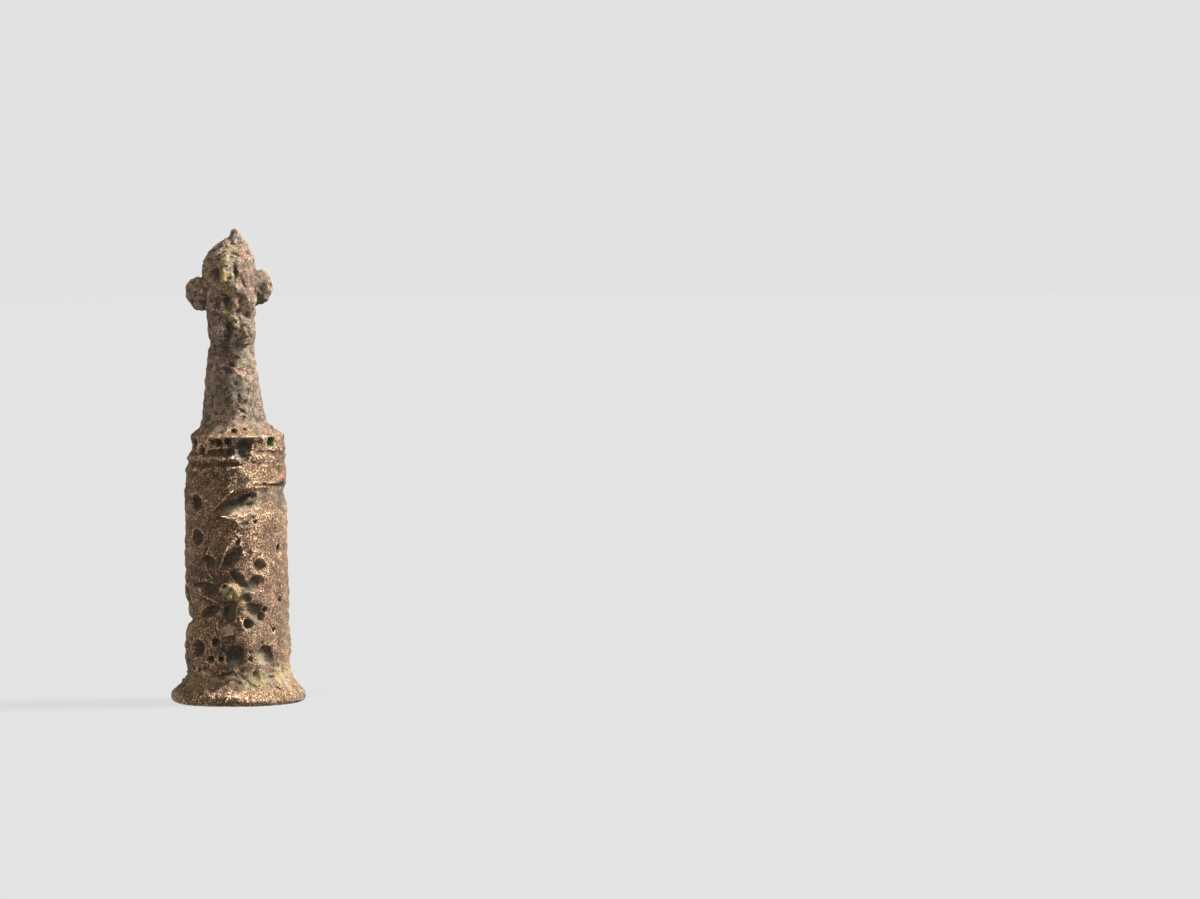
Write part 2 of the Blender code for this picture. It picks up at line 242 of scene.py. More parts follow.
@dataclass(frozen=True)
class CorrodedBronze:
    """Cast tin bronze, long buried: brown patina over pinkish metal, with grey-green deposits in its hollows.

    The eye sees fine metallic grains where it was rubbed clean, and a dull earthy skin everywhere else.
    """

    patina: str = "#694B30"
    dark_patina: str = "#402D1A"
    red_patina: str = "#6E4833"
    film: str = "#83705F"
    olive: str = "#565239"
    metal: str = "#AC8C66"
    bright_metal: str = "#E4C9A6"
    gap: str = "#1A140E"
    deposit: str = "#25231A"
    pale_deposit: str = "#595340"
    soil: str = "#5A4B31"
    pale_soil: str = "#85744F"
    grain_size: float = 0.135 * MM
    grain_relief: float = 0.16 * MM
    patch_size: float = 2.6 * MM
    mottle_size: float = 0.6 * MM
    worn_roughness: float = 0.36
    skin_roughness: float = 0.85

    def material(self) -> bpy.types.Material:
        """Builds the bronze's material.

        Returns:
            A material that reads the object's coordinates and the surface's own attributes.
        """
        made = bpy.data.materials.new("corroded_tin_bronze")
        made.use_nodes = True
        tree = made.node_tree
        add = partial(add_node, tree)
        shader = tree.nodes["Principled BSDF"]
        place = add("ShaderNodeTexCoord").outputs["Object"]
        crevice, hollow, depth, crust, stain, worn = (
            add("ShaderNodeAttribute", {"attribute_name": name}).outputs
            for name in ("crevice", "hollow", "depth", "crust", "stain", "worn")
        )
        # Metal grains, a finer grit among them, and patches some millimetres across
        grains, grit, patches, blush, mottle = (
            add(
                NOISE,
                {"noise_dimensions": "3D"},
                {"Vector": place, "Scale": 1 / size, "Detail": detail, "Roughness": rough},
            ).outputs["Fac"]
            for size, detail, rough in (
                (self.grain_size, 3.0, 0.7),
                (self.grain_size / 2.0, 2.0, 0.7),
                (self.patch_size, 4.0, 0.65),
                (self.patch_size / 2.2, 3.0, 0.65),
                (self.mottle_size, 3.0, 0.6),
            )
        )

        # Each covering has two tones: patina in patches, metal by its grit, deposits and soil by the grain
        browner = add(MATH, TIMES_PLUS, {0: mottle, 1: 0.9, 2: patches}).outputs[0]
        browner = add(RANGE, SOFT_STEP, {0: browner, 1: 0.78, 2: 1.1}).outputs[0]
        paler = add(MATH, TIMES_PLUS, {0: mottle, 1: 0.8, 2: grains}).outputs[0]
        paler = add(RANGE, SOFT_STEP, {0: paler, 1: 0.78, 2: 1.1}).outputs[0]
        drier = add(RANGE, SOFT_STEP, {0: grains, 1: 0.38, 2: 0.64}).outputs[0]
        colour, metal, deposit, soil = (
            add(MIX, COLOURS, {0: share, 6: linear(tone), 7: linear(other)}).outputs[2]
            for share, tone, other in (
                (browner, self.dark_patina, self.patina),
                (grit, self.metal, self.bright_metal),
                (paler, self.deposit, self.pale_deposit),
                (drier, self.soil, self.pale_soil),
            )
        )
        # Redder patches, and a grey film where no hand rubbed it, olive in places. The film lies thicker on
        # ridges and thinner in crevices: a painted highlight on the ridges and painted shade in the crevices
        redder = add(RANGE, SOFT_STEP, {0: blush, 1: 0.5, 2: 0.66, 4: 0.6}).outputs[0]
        mottle_and_ridge_highlight = add(MATH, TIMES_PLUS, {0: crevice["Fac"], 1: -0.1, 2: mottle}).outputs[0]
        mottle_and_ridge_highlight = add(MATH, TIMES_PLUS, {0: grains, 1: 0.6, 2: mottle_and_ridge_highlight}).outputs[0]
        mottle_and_ridge_highlight = add(RANGE, SOFT_STEP, {0: mottle_and_ridge_highlight, 1: 0.72, 2: 0.92, 4: 0.9}).outputs[0]
        film_and_ridge_highlight = add(RANGE, SOFT_STEP, {0: worn["Fac"], 1: 0.6, 2: 0.2}).outputs[0]
        film_and_ridge_highlight = add(MATH, TIMES, {0: film_and_ridge_highlight, 1: mottle_and_ridge_highlight}).outputs[0]
        greener = add(MATH, TIMES_PLUS, {0: worn["Fac"], 1: -0.3, 2: blush}).outputs[0]
        greener = add(RANGE, SOFT_STEP, {0: greener, 1: 0.43, 2: 0.6, 4: 0.55}).outputs[0]
        # Flecks of rubbed metal, on edges and where the seal was worn most of all. The extra metal on ridges
        # and rims is partly wear and partly a painted highlight along them
        rubbed_edge_and_rim_highlight = add(RANGE, {}, {0: crevice["Fac"], 1: -1.5, 2: 1.5, 3: 0.15, 4: -0.1}).outputs[0]
        bare_metal_and_rim_highlight = add(MATH, TIMES_PLUS, {0: patches, 1: 0.25, 2: grains}).outputs[0]
        bare_metal_and_rim_highlight = add(MATH, TIMES_PLUS, {0: worn["Fac"], 1: 0.09, 2: bare_metal_and_rim_highlight}).outputs[0]
        bare_metal_and_rim_highlight = add(MATH, {"operation": "ADD"}, {0: bare_metal_and_rim_highlight, 1: rubbed_edge_and_rim_highlight}).outputs[0]
        bare_metal_and_rim_highlight = add(RANGE, SOFT_STEP, {0: bare_metal_and_rim_highlight, 1: 0.76, 2: 0.95}).outputs[0]
        # Dark gaps between the grains
        gaps = add(RANGE, SOFT_STEP, {0: grains, 1: 0.5, 2: 0.38, 4: 0.85}).outputs[0]
        # Grey-green deposits settle in the hollows
        low = add(MATH, LARGER, {0: hollow["Fac"], 1: depth["Fac"]}).outputs[0]
        low = add(MATH, TIMES_PLUS, {0: grains, 1: 0.6, 2: low}).outputs[0]
        low = add(RANGE, SOFT_STEP, {0: low, 1: 0.5, 2: 1.5, 4: 0.75}).outputs[0]
        # Soil lies where the crust stands on the metal
        caked = add(MATH, TIMES_PLUS, {0: grains, 1: 1.2, 2: crust["Fac"]}).outputs[0]
        caked = add(RANGE, SOFT_STEP, {0: caked, 1: 0.85, 2: 1.6, 4: 0.8}).outputs[0]
        # The coloured patches, painted light and shade among them, are broken up by the grain
        spots = add(MATH, TIMES_PLUS, {0: grains, 1: 1.6, 2: stain["Alpha"]}).outputs[0]
        spots = add(RANGE, SOFT_STEP, {0: spots, 1: 0.95, 2: 1.9, 4: 0.75}).outputs[0]
        # One covering over the other, from the patina outwards
        for share, layer in (
            (redder, linear(self.red_patina)),
            (film_and_ridge_highlight, linear(self.film)),
            (greener, linear(self.olive)),
            (bare_metal_and_rim_highlight, metal),
            (gaps, linear(self.gap)),
            (low, deposit),
            (caked, soil),
            (spots, stain["Color"]),
        ):
            colour = add(MIX, COLOURS, {0: share, 6: colour, 7: layer}).outputs[2]
        # What covers the metal takes its gloss away
        covered = low
        for mask in (spots, caked, gaps):
            covered = add(MATH, LARGER, {0: covered, 1: mask}).outputs[0]
        metallic = add(MATH, TIMES_PLUS, {0: bare_metal_and_rim_highlight, 1: 0.3, 2: 0.68}).outputs[0]
        shiny = add(MATH, TIMES_PLUS, {0: covered, 1: -1.0, 2: 1.0}).outputs[0]
        metallic = add(MATH, TIMES, {0: metallic, 1: shiny}).outputs[0]
        metallic = add(MATH, TIMES, {0: metallic, 1: worn["Fac"]}).outputs[0]
        gloss = {0: metallic, 2: 0.9, 3: self.skin_roughness, 4: self.worn_roughness}
        roughness = add(RANGE, {}, gloss).outputs[0]
        relief = add(MATH, TIMES_PLUS, {0: grit, 1: 0.45, 2: grains}).outputs[0]
        bump = {"Strength": 1.0, "Distance": self.grain_relief, "Height": relief}
        bump = add("ShaderNodeBump", {}, bump).outputs["Normal"]
        for value, socket in (
            (colour, "Base Color"),
            (metallic, "Metallic"),
            (roughness, "Roughness"),
            (bump, "Normal"),
        ):
            tree.links.new(value, shader.inputs[socket])
        return made


@dataclass(frozen=True)
class CakedSoil:
    """Dry olive soil and yellow copper salts, caked in small crumbs: matt and grainy."""

    colour: str = "#6E6240"
    pale: str = "#8F8358"
    green: str = "#5E6440"
    ochre: str = "#A8913F"
    crumb_size: float = 0.3 * MM
    crumb_relief: float = 0.05 * MM
    # Below the first height the soil is all olive, and above the second it is mostly ochre
    olive_below: float = 25 * MM
    ochre_above: float = 35 * MM
    roughness: float = 0.92

    def material(self) -> bpy.types.Material:
        """Builds the soil's material.

        Returns:
            A dull material with crumbs of unlike tone.
        """
        made = bpy.data.materials.new("caked_burial_soil")
        made.use_nodes = True
        tree = made.node_tree
        add = partial(add_node, tree)
        shader = tree.nodes["Principled BSDF"]
        shader.inputs["Roughness"].default_value = self.roughness
        place = add("ShaderNodeTexCoord").outputs["Object"]
        crumbs, drift = (
            add(
                NOISE,
                {"noise_dimensions": "3D"},
                {"Vector": place, "Scale": 1 / size, "Detail": 3.0, "Roughness": 0.65},
            ).outputs["Fac"]
            for size in (self.crumb_size, 3.3 * self.crumb_size)
        )
        drier = add(RANGE, {}, {0: crumbs, 1: 0.38, 2: 0.62}).outputs[0]
        greener = add(RANGE, {}, {0: drift, 1: 0.48, 2: 0.72}).outputs[0]
        # Yellower on the head than at the foot
        height = add("ShaderNodeSeparateXYZ", {}, {0: place}).outputs[2]
        higher = {0: height, 1: self.olive_below, 2: self.ochre_above, 4: 0.7}
        higher = add(RANGE, {}, higher).outputs[0]
        tone = linear(self.colour)
        for share, layer in ((drier, self.pale), (greener, self.green), (higher, self.ochre)):
            tone = add(MIX, COLOURS, {0: share, 6: tone, 7: linear(layer)}).outputs[2]
        bump = {"Strength": 0.9, "Distance": self.crumb_relief, "Height": crumbs}
        bump = add("ShaderNodeBump", {}, bump).outputs["Normal"]
        tree.links.new(tone, shader.inputs["Base Color"])
        tree.links.new(bump, shader.inputs["Normal"])
        return made


# Graver and drill marks that are too fine for the solid, and the rims and knobs that stand out
FINE_MARKS = (
    # Crusted knob in the star's middle, the trench beside it and the pits round it
    Mark(-4, 10.9, 3.8, 3.4, 0.14),
    Mark(-8, 10.7, 1.15, 0.95, -0.4, -10, 0.6),
    Mark(-12, 10.75, 0.3, 0.22, -0.22, 20),
    Mark(-8.5, 11.2, 0.32, 0.2, -0.2, -25),
    Mark(-6.5, 10.2, 0.34, 0.2, -0.22, 15),
    Mark(-3, 10.9, 0.24, 0.3, -0.2),
    Mark(-13.5, 11.2, 0.26, 0.2, 0.36, 30),
    Mark(-6, 10.85, 0.2, 0.18, 0.42),
    Mark(-9.5, 10.5, 0.3, 0.16, 0.38, 30),
    Mark(-3.5, 10.4, 0.2, 0.24, 0.36),
    Mark(-12.5, 10.15, 0.24, 0.18, 0.34, -20),
    Mark(2.5, 11.9, 1.4, 0.4, 0.24, -50),
    Mark(-10.5, 7.5, 0.95, 0.75, 0.2, -5, 0.6),
    Mark(-9, 6.7, 0.9, 0.15, -0.18, 14),
    Mark(-21, 7.2, 0.5, 0.14, -0.16, -65),
    Mark(56, 14.5, 0.35, 0.5, 0.3, 0, 0.7),
    Mark(-36.3, 14.6, 0.5, 0.16, 0.3, 55),
    Mark(2, 15.35, 0.22, 0.22, 0.42, 0, 0.6),
    Mark(-17.7, 10.45, 0.34, 0.28, 0.28),
    Mark(10.9, 10.1, 0.5, 0.42, 0.26),
    Mark(31.5, 8.95, 0.24, 0.24, 0.35, 0, 0.6),
    Mark(55.7, 9.75, 0.22, 0.24, 0.3, 0, 0.6),
    # The star's rays, deeper along their middles
    Mark(-34, 11, 1.2, 0.62, 0.3, -20),
    Mark(-33, 13.6, 0.75, 0.55, 0.26, -35),
    Mark(-32, 8.8, 1.1, 0.52, 0.3, 24),
    Mark(-8.5, 8.6, 0.95, 0.7, 0.26, 80),
    Mark(-4, 13.8, 1.4, 0.55, 0.24, 52),
    Mark(27.5, 12.9, 0.8, 0.7, 0.1),
    Mark(20, 11.2, 1.3, 0.8, -0.1, 22),
    Mark(20, 8.8, 1.5, 0.7, -0.12, -44),
    Mark(27.5, 8.3, 0.3, 0.5, 0.24, -20),
    # Burrs along them
    Mark(-14.5, 13.9, 1.5, 0.17, -0.18, 68),
    Mark(-30, 12.2, 0.75, 0.17, -0.2, -45),
    Mark(-33, 10.05, 1.2, 0.16, -0.2, -22),
    Mark(4.7, 7.8, 0.8, 0.14, -0.16, -70),
    Mark(-20.5, 7.5, 0.6, 0.14, -0.16, -60),
    # Gouge in the leaf, its rims, and the pits under it
    Mark(-8, 18.6, 1.6, 0.7, 0.36, 20, 0.6),
    Mark(5, 19.1, 2.1, 0.95, 0.16, 8),
    Mark(9, 19.45, 0.75, 0.36, 0.36, 32),
    Mark(17, 19.75, 0.4, 0.24, 0.3, 30),
    Mark(-2, 18.75, 0.5, 0.26, 0.16, 30),
    Mark(5.5, 18.4, 0.4, 0.2, -0.14, -20),
    Mark(16, 18.8, 0.5, 0.22, 0.14, 10),
    Mark(24, 18.5, 0.45, 0.24, -0.1, -15),
    Mark(22, 19.65, 0.4, 0.2, 0.26, 40),
    Mark(36, 20.65, 1.7, 0.17, 0.14, -2),
    Mark(60, 20.5, 1.2, 0.16, 0.12, -4),
    Mark(-13.5, 19.35, 1.6, 0.16, -0.18, 44),
    Mark(-13, 17.75, 1.3, 0.16, -0.18, -17),
    Mark(19.5, 17.7, 0.3, 0.14, 0.12, -10),
    Mark(22, 17.2, 0.24, 0.18, 0.3, 60, 0.6),
    Mark(9, 17.05, 0.5, 0.2, 0.15, 5),
    Mark(0.5, 17.35, 0.95, 0.13, -0.12, -45),
    # The drill's globes, rounder and wider than in the solid
    Mark(-2, 4.6, 1.12, 1.12, 0.3, 0, 0.9),
    Mark(32, 4.57, 0.95, 1, -0.16),
    Mark(37, 5.1, 0.4, 0.35, 0.16),
    Mark(32, 4.57, 1.2, 1.25, -0.05),
    Mark(-49, 5.3, 0.9, 0.88, 0.3, 0, 0.9),
    Mark(-52, 18.97, 0.86, 0.86, 0.3, 0, 0.9),
    Mark(-50, 15.74, 0.8, 0.84, 0.3, 0, 0.9),
    # Small drillings by the foot
    Mark(-25, 6, 0.42, 0.36, 0.4, 0, 0.6),
    Mark(-31, 4.33, 0.38, 0.36, 0.4, 0, 0.6),
    Mark(-19, 4.35, 0.27, 0.28, 0.35, 0, 0.6),
    Mark(-15, 5.28, 0.17, 0.16, 0.28, 0, 0.6),
    Mark(13.8, 4.35, 0.18, 0.18, 0.32, 0, 0.6),
    Mark(11.5, 7.65, 0.42, 0.46, 0.35, 0, 0.6),
    Mark(44, 6.98, 0.2, 0.22, 0.32, 0, 0.6),
    Mark(-56, 3.4, 0.3, 0.3, 0.28, 0, 0.6),
    Mark(-47, 3.3, 0.3, 0.28, 0.28, 0, 0.6),
    Mark(-40.5, 3.4, 0.28, 0.26, 0.28, 0, 0.6),
    Mark(-16, 2.85, 0.8, 0.28, 0.28, 12, 0.6),
    Mark(49.6, 3.5, 0.2, 0.22, 0.28, 0, 0.6),
    Mark(19, 3, 0.26, 0.26, 0.24, 0, 0.6),
    Mark(38, 2.5, 0.5, 0.28, 0.22, 0, 0.6),
    Mark(-36, 1.15, 0.24, 0.18, 0.3, 0, 0.6),
    Mark(44, 1.45, 0.45, 0.16, 0.24, -25, 0.6),
    # The border's groove is deep at the left and dies out at the right
    Mark(-26, 22.5, 2.7, 0.26, 0.18, 2, 0.6),
    Mark(44, 22.65, 3.4, 0.38, -0.13),
    Mark(76, 24, 3.4, 0.8, -0.3),
    Mark(85, 5.4, 3.5, 1.6, -0.14),
    # Worn hollow down the left side
    Mark(-92, 8.3, 3, 2.1, 0.4),
    Mark(-92, 3.1, 2.5, 0.7, 0.16),
    Mark(-84, 24.3, 1.5, 0.9, 0.26),
    # Pits of the sunk band, in two uneven rows, with thin walls of metal between them
    Mark(-68, 24, 0.5, 0.5, 0.4, 0, 0.5),
    Mark(-75, 24.6, 0.6, 0.5, 0.4, 0, 0.5),
    Mark(-66, 24.5, 0.55, 0.55, 0.7, 0, 0.4),
    Mark(-50, 23.9, 0.45, 0.5, 0.7, 0, 0.4),
    Mark(-38.5, 23.95, 0.4, 0.5, -0.3),
    Mark(-33, 24.65, 0.34, 0.34, 0.45, 0, 0.5),
    Mark(-23, 23.68, 1.1, 0.38, 0.32, 4, 0.5),
    Mark(-23, 24.15, 1.2, 0.13, -0.14, 4),
    Mark(-25, 24.65, 0.44, 0.38, 0.62, 0, 0.4),
    Mark(-8.6, 23.75, 0.34, 0.36, 0.36, 0, 0.5),
    Mark(-12, 24.79, 0.36, 0.34, 0.5, 0, 0.5),
    Mark(8.2, 23.95, 0.7, 1.1, 0.42, 4, 0.5),
    Mark(13, 24.7, 0.6, 0.4, 0.25, 0, 0.6),
    Mark(1, 23.9, 0.3, 0.3, -0.2),
    Mark(14, 23.7, 0.35, 0.25, -0.2, 30),
    Mark(45, 24.6, 0.5, 0.55, 0.5, 0, 0.5),
    Mark(37, 23.75, 1.3, 0.2, 0.12, 0, 0.6),
    Mark(8, 25.2, 3.2, 0.14, -0.12),
    # Neck: pits, a hollow with a curled ridge beside it, fine strokes and the collar's groove
    Mark(-8, 31.4, 0.55, 0.3, 0.2, -20),
    Mark(-18, 31.9, 0.5, 0.16, -0.09, 40),
    Mark(6, 31.5, 0.6, 0.16, -0.12, -38),
    Mark(20, 30.95, 0.45, 0.14, -0.13, -20),
    Mark(34, 31.1, 0.4, 0.14, -0.12, 35),
    Mark(22, 31.4, 0.45, 0.25, 0.14),
    Mark(44, 31.7, 0.5, 0.3, 0.14),
    Mark(-12, 29.6, 0.14, 0.24, 0.12, 0, 0.6),
    Mark(12, 28.97, 0.16, 0.16, 0.22, 0, 0.6),
    Mark(24, 28.4, 0.2, 0.15, 0.22, 0, 0.6),
    Mark(10, 27.75, 0.55, 0.07, 0.1, -48),
    Mark(14.5, 27.6, 0.6, 0.07, 0.1, -48),
    Mark(19, 27.5, 0.5, 0.07, 0.1, -48),
    Mark(72, 26.9, 0.2, 0.34, 0.34, 0, 0.5),
    Mark(-4.3, 25.7, 0.3, 0.24, 0.34, 0, 0.5),
    Mark(13.3, 25.85, 0.2, 0.16, 0.28, 0, 0.5),
    Mark(-49, 26.1, 0.35, 0.25, 0.22, 0, 0.6),
    Mark(22, 33.3, 1.3, 0.8, -0.32),
    Mark(30, 33.75, 1.3, 0.12, 0.16),
    # Face: eye hollows, the forehead's twin ridge, the long cleft of the muzzle, and a curled nostril
    Mark(-32, 40.3, 0.6, 0.95, 0.42),
    Mark(-37, 41.6, 0.6, 0.4, 0.25),
    Mark(0, 41.9, 0.85, 0.18, 0.2, -3),
    Mark(-14.5, 40.5, 0.17, 1.1, -0.26),
    Mark(1, 40.5, 0.18, 0.9, -0.24),
    Mark(8, 40.6, 0.22, 0.8, 0.12),
    Mark(15, 40.8, 0.55, 0.75, -0.26),
    Mark(23.5, 41.1, 0.5, 0.4, 0.2),
    Mark(14, 38.9, 0.8, 0.6, -0.22),
    Mark(-13.5, 38.9, 0.22, 0.6, 0.3),
    Mark(-11.7, 37.9, 0.26, 0.6, 0.28, 0, 0.8),
    Mark(-10, 36.7, 0.2, 0.9, 0.3),
    Mark(-8, 35.1, 0.22, 1.35, 0.36),
    Mark(-28, 37.2, 0.8, 1, -0.2),
    Mark(-24, 35.3, 0.6, 0.9, -0.18),
    Mark(-14, 35.8, 0.3, 0.3, 0.16),
    Mark(19.8, 35.2, 0.6, 0.6, 0.2),
    Mark(19.8, 35.2, 0.28, 0.28, -0.3),
    Mark(10, 34.6, 0.3, 0.9, -0.12, -30),
    Mark(-22, 34.4, 0.5, 0.3, 0.16),
    Mark(28, 37.4, 0.2, 1.3, -0.18, -6),
    Mark(13, 37, 0.3, 0.8, 0.2, -20),
    Mark(-2, 43.3, 0.3, 0.25, 0.3),
    Mark(20, 42, 1, 0.16, 0.16, -30),
    Mark(-24, 42, 0.8, 0.15, 0.16, 30),
    Mark(17, 39.8, 0.16, 0.7, 0.16, -15),
    Mark(26, 39.6, 0.16, 0.9, 0.18, 12),
    Mark(7, 38.6, 0.6, 0.15, 0.18, -35),
    Mark(18, 37.9, 0.7, 0.15, 0.18, 25),
    Mark(-24, 38.7, 0.7, 0.15, 0.18, -30),
    Mark(-26, 36.2, 0.6, 0.14, 0.16, 20),
    Mark(3, 36.5, 0.5, 0.5, -0.2),
    Mark(14, 36.2, 0.16, 0.7, 0.16, 15),
    Mark(-20, 37.6, 0.35, 0.35, -0.16),
    Mark(22, 38.6, 0.4, 0.3, -0.16),
    Mark(8, 35.6, 0.4, 0.5, -0.18),
    Mark(12, 42.7, 0.5, 0.16, 0.16, 20),
)

